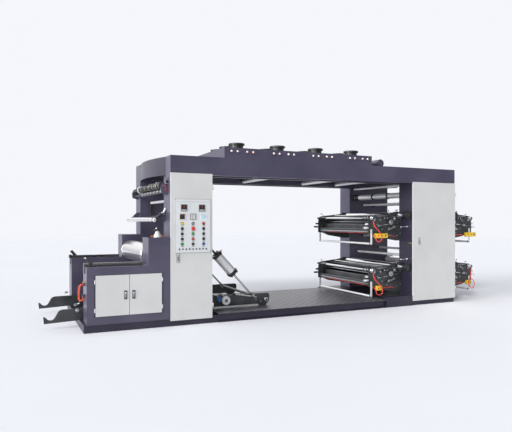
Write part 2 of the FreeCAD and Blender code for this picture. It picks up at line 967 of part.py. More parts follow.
def make_bridge():
    node("bridge_beams", group([bridge_beam(front, s.housing_depth), bridge_beam(far_beam_front, s.far_beam_width)]))
    length, span, sheet_metal = right - control_left, far_beam_front - near_inner, s.cover_sheet
    low = s.cabinet_top + s.soffit_rise
    covers = [
        block(control_left, near_inner, low, length, span, sheet_metal),
        block(control_left, near_inner, s.beam_top - sheet_metal, length, span, sheet_metal),
    ]
    for x in (control_left, right - sheet_metal):
        covers.append(block(x, near_inner, low, sheet_metal, span, s.beam_top - low))
    node("bridge_covers", joined(covers))
    node("drying_hood", block(hood_left, front, s.beam_top, s.hood_length, bridge_depth, s.hood_height))
    make_canopy()
    pitch = s.hood_length / 3.8
    columns = [hood_left + s.hood_length / 2 + pitch * (k - 1.5) for k in range(4)]
    rows = [front + s.collar_row_first + s.collar_row_pitch * k for k in range(3)]
    node("exhaust_collars", group([exhaust_collar(x, y) for x in columns for y in rows]))
    node("damper_knobs", group([damper_knob(x + offset) for x in columns for offset in (-165, -71, 78, 172)]))
    x, radius = hood_left + s.hood_length + s.blower_gap, s.blower_radius
    y = front + s.housing_depth / 2
    foot = block(x - 30, y + 40, s.beam_top, 60, s.blower_length - 80, radius)
    drum = rod(x, y, s.beam_top + radius, radius, s.blower_length)
    node("hood_end_blower", joined([foot, drum]))


def damper_knob(x):
    z, stem, length = s.knob_height, s.knob_stem, s.knob_length
    return joined(
        [
            stub(x, front - stem - length, z, s.knob_radius, length),
            stub(x, front - stem, z, s.knob_radius / 3, stem, sides=8),
        ]
    )


def make_canopy():
    """The bowed end of the bridge over the winder: a curved skirt with a flat top."""
    bottom = s.cabinet_top - s.beam_lip_drop
    height, skin = s.beam_top - bottom, s.canopy_sheet
    outer = bowed(s.canopy_chord, s.canopy_bulge, height)
    place(outer, control_left, front + s.canopy_start, bottom)
    inner = bowed(s.canopy_chord - 2 * skin, s.canopy_bulge - skin, height - skin)
    place(inner, control_left, front + s.canopy_start + skin, bottom)
    node("left_canopy", without(outer, [inner]))


def bowed(chord, rise, height):
    body = new_body("Bowed")
    sketch = outline(body, "XY_Plane", [(0, 0), (0, chord)], {0: arc_radius(chord, rise)})
    padded(body, sketch, height)
    return body


def arc_radius(chord, rise):
    text = f"({chord.text} * {chord.text} / (8 * {rise.text}) + {rise.text} / 2)"
    return Size(text, chord.value**2 / (8 * rise.value) + rise.value / 2)


def exhaust_collar(x, y):
    """A flanged collar on the hood, from which an exhaust duct would lead away."""
    height, lip = s.collar_height, s.collar_rim
    neck = stub(x, y, hood_top, s.collar_neck_radius, height - lip, "z", 16)
    rim = stub(x, y, hood_top + height - lip, s.collar_radius, lip, "z", 16)
    return joined([neck, rim])


def make_lay_on():
    """The lay-on roller with its two swing arms, and the brackets that carry their pivots."""
    x, z = left + s.lay_on_offset, s.lay_on_height
    px, pz = left + s.lay_on_pivot_offset, s.lay_on_pivot_height
    plate, inset, half = s.lay_on_arm_plate, s.lay_on_arm_inset, s.lay_on_arm_half
    y_near, y_far = front + inset, back - inset - plate
    pieces = [rod(x, y_near, z, s.lay_on_radius, y_far + plate - y_near)]
    bores, brackets = [], []
    points = [(x - half, z), (x, z - half), (px + half, pz), (px, pz + half)]
    for y, inward in ((y_near, 1), (y_far, -1)):
        pieces += [profile("SwingArm", points, y, plate), rod(px, y, pz, 1.5 * half, plate)]
        bores.append(rod(px, y, pz, s.lay_on_pin_radius + s.pin_clearance, plate))
        seat = y + plate + 2 if inward > 0 else y - 2 - 2 * plate
        pin = rod(px, y - 3, pz, s.lay_on_pin_radius, plate + 6)
        wing = [
            (px - half, pz + 30),
            (px - 70, pz - 20),
            (px - 70, pz - 60),
            (control_left, pz - 110),
            (control_left, pz + 30),
        ]
        brackets.append(joined([profile("Wing", wing, seat, 2 * plate), pin]))
    node("lay_on_roller", without(joined(pieces), bores))
    return brackets


def make_top_nip(lay_on_brackets):
    """The nip over the winder: a rubber roller over a steel one, between two brackets on the columns."""
    x, z = left + s.nip_offset, s.nip_height
    plate, radius = s.nip_bracket_plate, s.nip_radius
    y_near, y_far = front + s.nip_inset, back - s.nip_inset - plate
    span = y_far - y_near - plate
    low = z - radius - s.nip_steel_radius - 2
    node("nip_rubber_roller", rod(x, y_near + plate, z, radius, span))
    node("nip_steel_roller", rod(x + 16, y_near + plate, low, s.nip_steel_radius, span))
    points = [
        (x - radius / 2, z - 30),
        (x - 14, low - 25),
        (control_left, low - 50),
        (control_left, z + 60),
        (x, z + 30),
    ]
    brackets = [profile("NipBracket", points, y, plate) for y in (y_near, y_far)]
    node("roller_brackets", group(brackets + lay_on_brackets))


def make_dancer():
    """The dancer roller on its two arms, behind the columns on the winder side."""
    x, z = left + s.dancer_offset, s.dancer_height
    drop, arm, plate = s.dancer_drop, s.dancer_arm, s.lay_on_arm_plate
    pieces = [
        rod(x, near_inner + 60, z, s.dancer_radius, frame_gap - 120),
        rod(x, near_inner, z - drop, plate, frame_gap),
    ]
    for y in (near_inner + 45, far_inner - 45 - plate):
        pieces.append(block(x - arm / 2, y, z - drop - arm / 2, arm, plate, drop + arm))
    node("dancer", joined(pieces))


def roller(x, z, radius, y_start, y_end, journal):
    gap = s.idler_end_gap
    return joined(
        [
            rod(x, y_start + gap, z, radius, y_end - y_start - 2 * gap),
            stub(x, y_start, z, journal, gap),
            stub(x, y_end - gap, z, journal, gap),
        ]
    )


def make_rollers():
    bridge_x = [control_right + (gear_left - control_right) * share for share in (0.315, 0.645, 0.845)]
    idlers = [
        roller(x, s.idler_height, s.idler_radius, near_inner, far_beam_front, s.idler_journal) for x in bridge_x
    ]
    node("bridge_idlers", group(idlers))
    behind = s.plate_cylinder_radius + s.running_gap + s.impression_radius - s.plate_cylinder_offset
    cylinders = [
        roller(x, s.plate_cylinder_height + s.deck_rise * rise, s.impression_radius, near_inner, far_inner, 20)
        for x in (gear_left + behind, right - behind)
        for rise in (0, 1)
    ]
    node("impression_cylinders", group(cylinders))
    upper, lower = s.cabinet_top - 40, s.plate_cylinder_height + 200
    guides = [
        (gear_left + 90, upper),
        (gear_left + 330, upper - 310),
        (gear_left + 330, lower + 290),
        (gear_left + 192, lower - 25),
        (right - 220, lower + 45),
        (right - 330, upper - 310),
    ]
    rollers = [roller(x, z, s.guide_radius, near_inner, far_inner, s.idler_journal) for x, z in guides]
    rollers.append(roller(gear_left + 125, upper - 170, s.sleeve_roller_radius, near_inner, far_inner, 20))
    node("web_guide_rollers", group(rollers))


def hose(name, points, diameter):
    """A round hose along straight runs that are joined by tangent arcs."""
    spots = [FreeCAD.Vector(*(as_size(value).value for value in point)) for point in points]
    edges, radii = [], []
    start = spots[0]
    for before, corner, after in zip(spots, spots[1:], spots[2:]):
        inward, outward = corner - before, after - corner
        half_turn = inward.getAngle(outward) / 2
        trim = 0.45 * min(inward.Length, outward.Length)
        radii.append(round(trim / math.tan(half_turn)))
        inward.normalize()
        outward.normalize()
        entry, leave = corner - inward * trim, corner + outward * trim
        bisector = (outward - inward).normalize()
        offset = trim / math.sin(half_turn) - trim / math.tan(half_turn)
        edges.append(Part.LineSegment(start, entry).toShape())
        edges.append(Part.Arc(entry, corner + bisector * offset, leave).toShape())
        start = leave
    edges.append(Part.LineSegment(start, spots[-1]).toShape())
    route = doc.addObject("Part::Feature", "Route")
    route.Shape = Part.Wire(edges)
    ring = doc.addObject("Part::RegularPolygon", "Ring")
    ring.Polygon = 6
    bind(ring, "Circumradius", diameter / 2)
    ring.Placement = FreeCAD.Placement(
        spots[0], FreeCAD.Rotation(FreeCAD.Vector(0, 0, 1), spots[1] - spots[0])
    )
    tube = doc.addObject("Part::Sweep", "Hose")
    tube.Sections = [ring]
    tube.Spine = (route, [f"Edge{k + 1}" for k in range(len(edges))])
    tube.Solid = True
    tube.Frenet = True
    print(name, "bend radii", radii)
    node(name, tube)


def make_spiral_hose():
    """The coiled air hose at the winder's outer end, as one tube of its outer diameter."""
    y, top = front + s.spiral_setback, s.spiral_top
    x = winder_left
    points = [
        (x - 17, y, top),
        (x - 62, y, top),
        (x - 72, y, top - 66),
        (x - 73, y, top - 150),
        (x - 71, y, top - 206),
        (x - 20, y, top - 206),
        (x - 20, y, top - 155),
    ]
    hose("spiral_hose", points, s.spiral_diameter)


class Deck:
    """One inking deck, which leans out from a column's end face; u counts away from that face."""

    def __init__(self, name, side, rise):
        self.name, self.side = name, side
        self.base = gear_left if side < 0 else right
        self.lift = s.deck_rise * rise
        self.y_near = front + s.deck_inset
        self.y_far = back - s.deck_inset - s.deck_plate
        self.between = self.y_far - self.y_near - s.deck_plate
        self.full = self.between + 2 * s.deck_plate

    def x(self, u):
        return self.base + as_size(u) * self.side

    def box(self, u, y, z, width, depth, height):
        start = self.x(u) if self.side > 0 else self.x(u + width)
        return block(start, y, z + self.lift, width, depth, height)

    def rod(self, u, y, z, radius, length):
        return rod(self.x(u), y, z + self.lift, radius, length)

    def side_plate(self, y):
        """A side plate, cut round the plate cylinder above and round the tray's beam at its outer end."""
        z, reach, shaft = s.plate_cylinder_height, s.deck_reach, s.deck_shaft_height
        points = [
            (0, s.deck_foot),
            (0, z + 60),
            (130, z + 60),
            (230, z + 30),
            (s.deck_shaft_offset, shaft + 40),
            (s.deck_shaft_offset + 50, shaft + 10),
            (reach, s.grip_height + 90),
            (reach, s.deck_beam_bottom - 12),
            (s.deck_beam_offset - 20, s.deck_beam_bottom - 24),
            (s.deck_beam_offset - 132, s.deck_belly),
            (120, s.deck_foot),
        ]
        body = new_body("SidePlate")
        outwards = [(as_size(a) * self.side, b) for a, b in points]
        padded(body, outline(body, "XZ_Plane", outwards), s.deck_plate, toward_back=True)
        place(body, self.base, y, self.lift)
        bore = s.plate_journal_radius + s.pin_clearance
        return without(body, [self.rod(s.plate_cylinder_offset, y, z, bore, s.deck_plate)])

    def frame(self):
        y_near, y_far = self.y_near, self.y_far
        reach = self.full + s.deck_shaft_near + s.deck_shaft_far
        pieces = [self.side_plate(y_near), self.side_plate(y_far)]
        shaft_u, shaft_z = s.deck_shaft_offset, s.deck_shaft_height
        pieces.append(
            stub(
                self.x(shaft_u), y_near - s.deck_shaft_near, shaft_z + self.lift, s.deck_shaft_radius, reach, sides=16
            )
        )
        pieces.append(
            self.box(
                s.deck_beam_offset, y_near, s.deck_beam_bottom, s.deck_beam_width, self.full, s.deck_beam_height
            )
        )
        z = s.plate_cylinder_height - s.fountain_drop
        width = s.handwheel_width
        pieces.append(
            stub(self.x(s.fountain_offset), y_near - width, z + self.lift, s.handwheel_radius, width, sides=20)
        )
        pieces += self.hose_fittings()
        node(f"{self.name}_frame", joined(pieces))

    def hose_fittings(self):
        """The fittings from which the hose leaves the shaft's near end and enters the side plate."""
        radius = s.hose_diameter * 0.7
        u, z = s.deck_shaft_offset, s.deck_shaft_height
        y = self.y_near - s.deck_shaft_near + 15
        drop = s.deck_shaft_radius + 24
        upper = stub(self.x(u), y, z - drop + self.lift, radius, drop, "z")
        end_u, end_z = self.hose_end()
        lower = stub(self.x(end_u), self.y_near - 10, z - end_z + self.lift, radius, 10)
        return [upper, lower]

    def hose_end(self):
        """Where the hose enters the plate: the offset from the column and the drop below the shaft."""
        u = s.deck_shaft_offset
        return (u - 27, 290) if self.side < 0 else (u + 33, 245)

    def hose(self, turns_down):
        """The hose from the shaft's end, which loops down past the push-button box to the side plate."""
        u, z = s.deck_shaft_offset, s.deck_shaft_height
        points = [
            (self.x(u + a), self.y_near + b, z + c + self.lift)
            for a, b, c in [(0, 15 - s.deck_shaft_near, -s.deck_shaft_radius - 24)] + turns_down
        ]
        end_u, end_z = self.hose_end()
        points.append((self.x(end_u), self.y_near - 10, z - end_z + self.lift))
        hose(f"{self.name}_hose", points, s.hose_diameter)

    def plate_cylinder(self):
        u, z = s.plate_cylinder_offset, s.plate_cylinder_height
        start = front + s.coupling_setback
        end = self.y_far + s.deck_plate + s.running_gap
        margin = s.idler_end_gap + s.running_gap
        pieces = [
            self.rod(u, near_inner + margin, z, s.plate_cylinder_radius, frame_gap - 2 * margin),
            self.rod(u, start, z, s.plate_journal_radius, end - start),
            self.rod(u, start, z, s.coupling_radius, s.coupling_length),
        ]
        node(f"{self.name}_plate_cylinder", joined(pieces))

    def inking_rollers(self):
        pieces = []
        z = s.plate_cylinder_height
        for u, drop, radius in (
            (s.anilox_offset, s.anilox_drop, s.anilox_radius),
            (s.fountain_offset, s.fountain_drop, s.fountain_radius),
        ):
            inner, outer = self.y_near + s.deck_plate, self.y_far
            pieces.append(self.plain_roller(u, z - drop, radius, inner, outer))
        return pieces

    def plain_roller(self, u, z, radius, y_start, y_end):
        return roller(self.x(u), z + self.lift, radius, y_start, y_end, s.ink_journal_radius)

    def tray(self):
        wall = s.tray_wall
        y, length = self.y_near + s.deck_plate, self.between
        outer = self.box(s.tray_offset, y, s.tray_bottom, s.tray_width, length, s.tray_height)
        inner = self.box(
            s.tray_offset + wall,
            y + wall,
            s.tray_bottom + wall,
            s.tray_width - 2 * wall,
            length - 2 * wall,
            s.tray_height,
        )
        return without(outer, [inner])

    def lead_roller(self):
        """The roller that leads the web into the deck, hung below its outer end on two flat bars."""
        plate, foot = s.hanger_plate, s.hanger_foot
        start = s.hanger_offset - s.hanger_width / 2
        top = s.deck_beam_bottom + s.deck_beam_height
        pieces = []
        for y in (self.y_near - plate, self.y_far + s.deck_plate):
            pieces.append(self.box(start, y, foot, s.hanger_width, plate, top - foot))
        z = foot + s.lead_roller_radius
        pieces.append(self.plain_roller(s.hanger_offset, z, s.lead_roller_radius, self.y_near, self.y_near + self.full))
        return joined(pieces)

    def grips(self):
        pieces = []
        for y in (self.y_near, self.y_far):
            for rise, length in ((0, 1.0), (62, 0.6)):
                reach = s.grip_length * length
                start = self.x(s.deck_reach) if self.side > 0 else self.x(s.deck_reach + reach)
                z = s.grip_height + rise + self.lift
                pieces.append(stub(start, y + s.deck_plate / 2, z, s.grip_radius, reach, "x"))
        return pieces

    def pendant(self, u, width):
        """The push-button box, which hangs on the near side plate or on the hanger bar in front of it."""
        y = self.y_near - s.pendant_depth - (s.hanger_plate if self.side > 0 else 0)
        return self.box(u, y, s.pendant_bottom, width, s.pendant_depth, s.pendant_height)


def make_decks():
    trays, lead_rollers, inking, grips, pendants = [], [], [], [], []
    hose_turns = {
        "left_lower_deck": [
            (0, -55, -110),
            (-50, -78, -185),
            (-121, -90, -250),
            (-169, -92, -325),
            (-143, -92, -395),
            (-79, -90, -412),
            (-33, -88, -375),
            (-25, -88, -324),
            (-27, -54, -290),
        ],
        "left_upper_deck": [
            (0, -55, -112),
            (-52, -80, -185),
            (-116, -90, -245),
            (-155, -92, -318),
            (-133, -92, -384),
            (-73, -90, -402),
            (-31, -88, -368),
            (-27, -88, -324),
            (-27, -54, -290),
        ],
        "right_lower_deck": [
            (0, -55, -110),
            (-48, -80, -185),
            (-96, -94, -262),
            (-98, -96, -340),
            (-54, -96, -400),
            (8, -94, -406),
            (46, -90, -358),
            (34, -88, -279),
            (33, -54, -245),
        ],
    }
    for name, side, rise, pendant_offset, pendant_width in (
        ("left_lower_deck", -1, 0, 452, s.short_pendant),
        ("left_upper_deck", -1, 1, 336, s.long_pendant),
        ("right_lower_deck", 1, 0, 534, s.short_pendant),
        ("right_upper_deck", 1, 1, 507, s.long_pendant),
    ):
        deck = Deck(name, side, rise)
        deck.frame()
        deck.plate_cylinder()
        trays.append(deck.tray())
        lead_rollers.append(deck.lead_roller())
        inking += deck.inking_rollers()
        grips += deck.grips()
        pendants.append(deck.pendant(pendant_offset, pendant_width))
        if name in hose_turns:
            deck.hose(hose_turns[name])
    node("deck_lead_rollers", group(lead_rollers))
    node("deck_inking_rollers", group(inking))
    node("deck_ink_trays", group(trays))
    node("deck_grips", group(grips))
    node("deck_pendants", group(pendants))


make_base()
make_cabinets()
make_control_panel()
make_winder()
make_rails()
make_lift()
make_levers()
make_air_cylinders()
make_side_wheel()
make_column_fittings()
make_bridge()
make_top_nip(make_lay_on())
make_dancer()
make_rollers()
make_spiral_hose()
make_decks()
doc.recompute()

faults = [item.Label for item in doc.Objects if {"Invalid", "Error"} & set(item.State)]
for item in nodes:
    if item.Shape.isNull() or not item.Shape.isValid() or not item.Shape.Solids:
        faults.append(item.Label)
if faults:
    raise RuntimeError(f"these objects failed: {faults}")

os.makedirs("parts", exist_ok=True)
for item in nodes:
    item.Shape.exportStep(f"parts/{item.Label}.step")
    print(item.Label, len(item.Shape.Solids), round(item.Shape.Volume / 1e9, 5))
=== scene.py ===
import bpy
import math
from mathutils import Matrix, Vector


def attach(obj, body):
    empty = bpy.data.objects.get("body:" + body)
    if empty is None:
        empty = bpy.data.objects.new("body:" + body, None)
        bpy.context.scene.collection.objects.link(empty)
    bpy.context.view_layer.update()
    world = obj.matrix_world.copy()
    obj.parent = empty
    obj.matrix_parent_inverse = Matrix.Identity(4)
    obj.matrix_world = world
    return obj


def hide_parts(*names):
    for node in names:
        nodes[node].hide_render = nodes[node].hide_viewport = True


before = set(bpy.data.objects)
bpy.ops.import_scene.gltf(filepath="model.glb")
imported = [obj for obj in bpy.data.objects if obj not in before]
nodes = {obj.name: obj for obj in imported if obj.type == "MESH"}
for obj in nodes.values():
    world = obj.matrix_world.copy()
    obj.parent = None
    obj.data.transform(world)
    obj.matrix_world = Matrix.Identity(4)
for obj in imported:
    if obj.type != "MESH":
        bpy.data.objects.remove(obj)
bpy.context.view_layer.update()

# Directions along the press, and values that every helper shares

upward, toBack, toFront = (0, 0, 1), (0, 1, 0), (0, -1, 0)
toLeft, toRight = (-1, 0, 0), (1, 0, 0)
smoothAngle = math.radians(35)
widestBevel = 0.45  # of a box's thinnest side

# Working helpers


def clearSelection():
    bpy.ops.object.select_all(action="DESELECT")


def settle(piece):
    clearSelection()
    piece.select_set(True)
    bpy.context.view_layer.objects.active = piece
    bpy.ops.object.transform_apply(location=True, rotation=True, scale=True)
    return piece


def bevelEdges(piece, width, segments=2, angle=40):
    bevel = piece.modifiers.new("edges", "BEVEL")
    bevel.width = width
    bevel.segments = segments
    bevel.limit_method = "ANGLE"
    bevel.angle_limit = math.radians(angle)
    clearSelection()
    piece.select_set(True)
    bpy.context.view_layer.objects.active = piece
    bpy.ops.object.modifier_apply(modifier="edges")
    bpy.ops.object.shade_smooth_by_angle(angle=smoothAngle)
    return piece


def boxPiece(name, low, high, bevel, finish):
    low, high = Vector(low), Vector(high)
    clearSelection()
    bpy.ops.mesh.primitive_cube_add(size=1, location=(low + high) / 2)
    piece = bpy.context.object
    piece.name = piece.data.name = name
    piece.scale = high - low
    settle(piece)
    bevelEdges(piece, min(bevel, min(high - low) * widestBevel))
    return dress(piece, finish)


def turnedPiece(name, start, direction, steps, sides, finish, bevel=0.0008):
    # steps are (radius, length) pairs: a disc is extruded along its axis and resized at each step
    clearSelection()
    bpy.ops.mesh.primitive_circle_add(vertices=sides, radius=steps[0][0], fill_type="NGON")
    piece = bpy.context.object
    piece.name = piece.data.name = name
    bpy.ops.object.mode_set(mode="EDIT")
    bpy.ops.mesh.select_all(action="SELECT")
    radius = steps[0][0]
    for newRadius, length in steps:
        if abs(newRadius - radius) > 1e-6:
            bpy.ops.mesh.extrude_region_move(TRANSFORM_OT_translate={"value": (0, 0, 0)})
            ratio = newRadius / radius
            bpy.ops.transform.resize(value=(ratio, ratio, 1))
            radius = newRadius
        if length > 0:
            bpy.ops.mesh.extrude_region_move(TRANSFORM_OT_translate={"value": (0, 0, length)})
    bpy.ops.mesh.select_all(action="SELECT")
    bpy.ops.mesh.remove_doubles(threshold=0.00001)
    bpy.ops.mesh.normals_make_consistent(inside=False)
    bpy.ops.object.mode_set(mode="OBJECT")
    piece.rotation_mode = "QUATERNION"
    piece.rotation_quaternion = Vector(direction).to_track_quat("Z", "Y")
    piece.location = Vector(start)
    settle(piece)
    if bevel:
        bevelEdges(piece, bevel, 1, 50)
    else:
        bpy.ops.object.shade_smooth_by_angle(angle=smoothAngle)
    return dress(piece, finish)


def rodPiece(name, start, end, radius, sides, finish, bevel=0.0008):
    start, end = Vector(start), Vector(end)
    return turnedPiece(name, start, end - start, [(radius, (end - start).length)], sides, finish, bevel)


def ballPiece(name, centre, radius, finish, rings, flatten=(1, 1, 1)):
    clearSelection()
    bpy.ops.mesh.primitive_uv_sphere_add(
        segments=2 * rings, ring_count=rings, radius=radius, location=centre,
    )
    piece = bpy.context.object
    piece.name = piece.data.name = name
    piece.scale = flatten
    settle(piece)
    bpy.ops.object.shade_smooth()
    return dress(piece, finish)


def ringPiece(name, centre, axis, radius, tube, finish, around=32, across=8):
    clearSelection()
    bpy.ops.mesh.primitive_torus_add(
        major_radius=radius, minor_radius=tube, major_segments=around, minor_segments=across
    )
    piece = bpy.context.object
    piece.name = piece.data.name = name
    piece.rotation_mode = "QUATERNION"
    piece.rotation_quaternion = Vector(axis).to_track_quat("Z", "Y")
    piece.location = centre
    settle(piece)
    bpy.ops.object.shade_smooth()
    return dress(piece, finish)


def dress(piece, finish):
    piece.data.materials.clear()
    piece.data.materials.append(finishes[finish])
    return piece


def joinPieces(name, pieces):
    clearSelection()
    for piece in pieces:
        piece.select_set(True)
    bpy.context.view_layer.objects.active = pieces[0]
    bpy.ops.object.join()
    piece = bpy.context.object
    piece.name = piece.data.name = name
    return piece


def copyPiece(piece, name, offset=(0, 0, 0), matrix=None):
    twin = piece.copy()
    twin.data = piece.data.copy()
    twin.name = twin.data.name = name
    bpy.context.collection.objects.link(twin)
    twin.data.transform(matrix or Matrix.Translation(offset))
    return twin


def mirrorMatrix(axisIndex, plane):
    # reflects across the plane where that coordinate equals plane
    flip = Matrix.Identity(4)
    flip[axisIndex][axisIndex] = -1
    flip[axisIndex][3] = 2 * plane
    return flip


def mirroredPiece(piece, name, axisIndex, plane):
    twin = copyPiece(piece, name, matrix=mirrorMatrix(axisIndex, plane))
    twin.data.flip_normals()
    return twin


def keep(piece, body, replaced=()):
    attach(piece, body)
    if replaced:
        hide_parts(*replaced)
    return piece


# Finishes


def newMaterial(name):
    material = bpy.data.materials.new(name)
    material.use_nodes = True
    tree = material.node_tree
    return material, tree, tree.nodes["Principled BSDF"]


def addNode(tree, kind, **values):
    node = tree.nodes.new(kind)
    for key, value in values.items():
        if key in node.inputs:
            node.inputs[key].default_value = value
        else:
            setattr(node, key, value)
    return node


def objectNoise(tree, scale, detail=3, stretch=(1, 1, 1)):
    coordinates = addNode(tree, "ShaderNodeTexCoord")
    mapping = addNode(tree, "ShaderNodeMapping", Scale=stretch)
    noise = addNode(tree, "ShaderNodeTexNoise", Scale=scale, Detail=detail)
    tree.links.new(coordinates.outputs["Object"], mapping.inputs["Vector"])
    tree.links.new(mapping.outputs["Vector"], noise.inputs["Vector"])
    return noise


def mixedColour(tree, factor, dark, light, low=0.35, high=0.65):
    ramp = addNode(tree, "ShaderNodeValToRGB")
    ramp.color_ramp.elements[0].position = low
    ramp.color_ramp.elements[1].position = high
    ramp.color_ramp.elements[0].color = (*dark, 1)
    ramp.color_ramp.elements[1].color = (*light, 1)
    tree.links.new(factor, ramp.inputs["Fac"])
    return ramp.outputs["Color"]


def paintedFinish(name, dark, light, roughness=0.4, grain=260, bump=0.05, coat=0.0, patch=2.5):
    material, tree, shader = newMaterial(name)
    cloud = objectNoise(tree, patch, 4)
    tree.links.new(mixedColour(tree, cloud.outputs["Fac"], dark, light), shader.inputs["Base Color"])
    fine = objectNoise(tree, grain, 2)
    rough = addNode(tree, "ShaderNodeMapRange")
    rough.inputs["To Min"].default_value = roughness - 0.07
    rough.inputs["To Max"].default_value = roughness + 0.09
    tree.links.new(cloud.outputs["Fac"], rough.inputs["Value"])
    tree.links.new(rough.outputs["Result"], shader.inputs["Roughness"])
    relief = addNode(tree, "ShaderNodeBump", Strength=bump, Distance=0.001)
    tree.links.new(fine.outputs["Fac"], relief.inputs["Height"])
    tree.links.new(relief.outputs["Normal"], shader.inputs["Normal"])
    shader.inputs["Coat Weight"].default_value = coat
    return material


def metalFinish(name, dark, light, roughness=0.25, stretch=(1, 60, 1), scale=8, bump=0.03, metallic=1.0):
    material, tree, shader = newMaterial(name)
    grain = objectNoise(tree, scale, 4, stretch)
    tree.links.new(
        mixedColour(tree, grain.outputs["Fac"], dark, light, 0.3, 0.7), shader.inputs["Base Color"],
    )
    rough = addNode(tree, "ShaderNodeMapRange")
    rough.inputs["To Min"].default_value = roughness - 0.06
    rough.inputs["To Max"].default_value = roughness + 0.1
    tree.links.new(grain.outputs["Fac"], rough.inputs["Value"])
    tree.links.new(rough.outputs["Result"], shader.inputs["Roughness"])
    relief = addNode(tree, "ShaderNodeBump", Strength=bump, Distance=0.0005)
    tree.links.new(grain.outputs["Fac"], relief.inputs["Height"])
    tree.links.new(relief.outputs["Normal"], shader.inputs["Normal"])
    shader.inputs["Metallic"].default_value = metallic
    return material


def treadFinish(name):
    # raised lozenges that lean one way and then the other, as on checker plate
    material, tree, shader = newMaterial(name)
    coordinates = addNode(tree, "ShaderNodeTexCoord")
    heights = []
    for turn, shift in ((45, 0.0), (-45, 0.5)):
        mapping = addNode(tree, "ShaderNodeMapping", Rotation=(0, 0, math.radians(turn)), Scale=(26, 26, 1))
        mapping.inputs["Location"].default_value = (shift, shift, 0)
        voronoi = addNode(tree, "ShaderNodeTexVoronoi", Scale=1, Randomness=0)
        squeeze = addNode(tree, "ShaderNodeMapping", Scale=(1, 0.36, 1))
        tree.links.new(coordinates.outputs["Object"], mapping.inputs["Vector"])
        tree.links.new(mapping.outputs["Vector"], squeeze.inputs["Vector"])
        tree.links.new(squeeze.outputs["Vector"], voronoi.inputs["Vector"])
        edge = addNode(tree, "ShaderNodeMapRange")
        edge.inputs["From Min"].default_value = 0.34
        edge.inputs["From Max"].default_value = 0.2
        tree.links.new(voronoi.outputs["Distance"], edge.inputs["Value"])
        heights.append(edge)
    top = addNode(tree, "ShaderNodeMath", operation="MAXIMUM")
    tree.links.new(heights[0].outputs["Result"], top.inputs[0])
    tree.links.new(heights[1].outputs["Result"], top.inputs[1])
    colour = mixedColour(tree, top.outputs["Value"], (0.10, 0.10, 0.115), (0.23, 0.23, 0.25), 0.2, 0.9)
    tree.links.new(colour, shader.inputs["Base Color"])
    relief = addNode(tree, "ShaderNodeBump", Strength=0.6, Distance=0.002)
    tree.links.new(top.outputs["Value"], relief.inputs["Height"])
    tree.links.new(relief.outputs["Normal"], shader.inputs["Normal"])
    shader.inputs["Metallic"].default_value = 0.5
    shader.inputs["Roughness"].default_value = 0.42
    return material


def glossFinish(name, colour, roughness=0.25, spread=0.12, coat=0.3):
    dark = tuple(channel * (1 - spread) for channel in colour)
    light = tuple(min(1, channel * (1 + spread)) for channel in colour)
    return paintedFinish(name, dark, light, roughness, 120, 0.02, coat, 14)


# dark and light colour, roughness, grain, bump, coat and patch scale
paints = {
    "framePaint": ((0.054, 0.049, 0.082), (0.070, 0.064, 0.102), 0.36, 420, 0.08, 0.22),
    "basePaint": ((0.015, 0.012, 0.029), (0.024, 0.020, 0.040), 0.42, 420, 0.08, 0.08),
    # frame paint made darker: painted shade on the canopy, whose left side the side sun lights
    "canopyPaint": ((0.030, 0.027, 0.046), (0.042, 0.038, 0.060), 0.38, 420, 0.08, 0.2),
    # frame paint made lighter: painted light on the far right frame's inner face, which lies in shade
    "innerPaint": ((0.084, 0.077, 0.124), (0.104, 0.096, 0.150), 0.38, 420, 0.08, 0.2),
    "doorPaint": ((0.54, 0.543, 0.53), (0.575, 0.578, 0.565), 0.38, 380, 0.05, 0.1),
    "panelPaint": ((0.60, 0.62, 0.62), (0.66, 0.68, 0.68), 0.35, 380, 0.03, 0.1),
    "darkSteel": ((0.020, 0.024, 0.026), (0.042, 0.046, 0.048), 0.38, 300, 0.12, 0.2, 6),
    "blackIron": ((0.010, 0.010, 0.011), (0.025, 0.025, 0.027), 0.45, 300, 0.1, 0.1, 8),
    "rubber": ((0.016, 0.016, 0.018), (0.03, 0.03, 0.033), 0.55, 500, 0.06, 0, 9),
    "greyCeramic": ((0.16, 0.165, 0.17), (0.25, 0.255, 0.26), 0.35, 700, 0.03, 0.1, 7),
}
# dark and light colour, roughness, stretch of the grain, its scale, bump and metal share
metals = {
    "chrome": ((0.62, 0.63, 0.65), (0.84, 0.85, 0.87), 0.16),
    "polished": ((0.70, 0.70, 0.71), (0.84, 0.84, 0.85), 0.20, (1, 60, 1), 8, 0.02, 0.9),
    "satin": ((0.80, 0.80, 0.80), (0.92, 0.92, 0.92), 0.30, (1, 60, 1), 8, 0.03, 0.35),
    "anodised": ((0.84, 0.84, 0.83), (0.93, 0.93, 0.92), 0.36, (1, 1, 1), 30, 0.03, 0.1),
    "steel": ((0.36, 0.37, 0.39), (0.56, 0.57, 0.59), 0.28),
    "brushedTray": ((0.07, 0.072, 0.075), (0.13, 0.132, 0.135), 0.34, (40, 1, 1), 6),
    "railPaint": ((0.20, 0.20, 0.20), (0.34, 0.34, 0.33), 0.26, (0.6, 14, 14), 10),
    "brass": ((0.50, 0.33, 0.12), (0.72, 0.50, 0.20), 0.28),
}
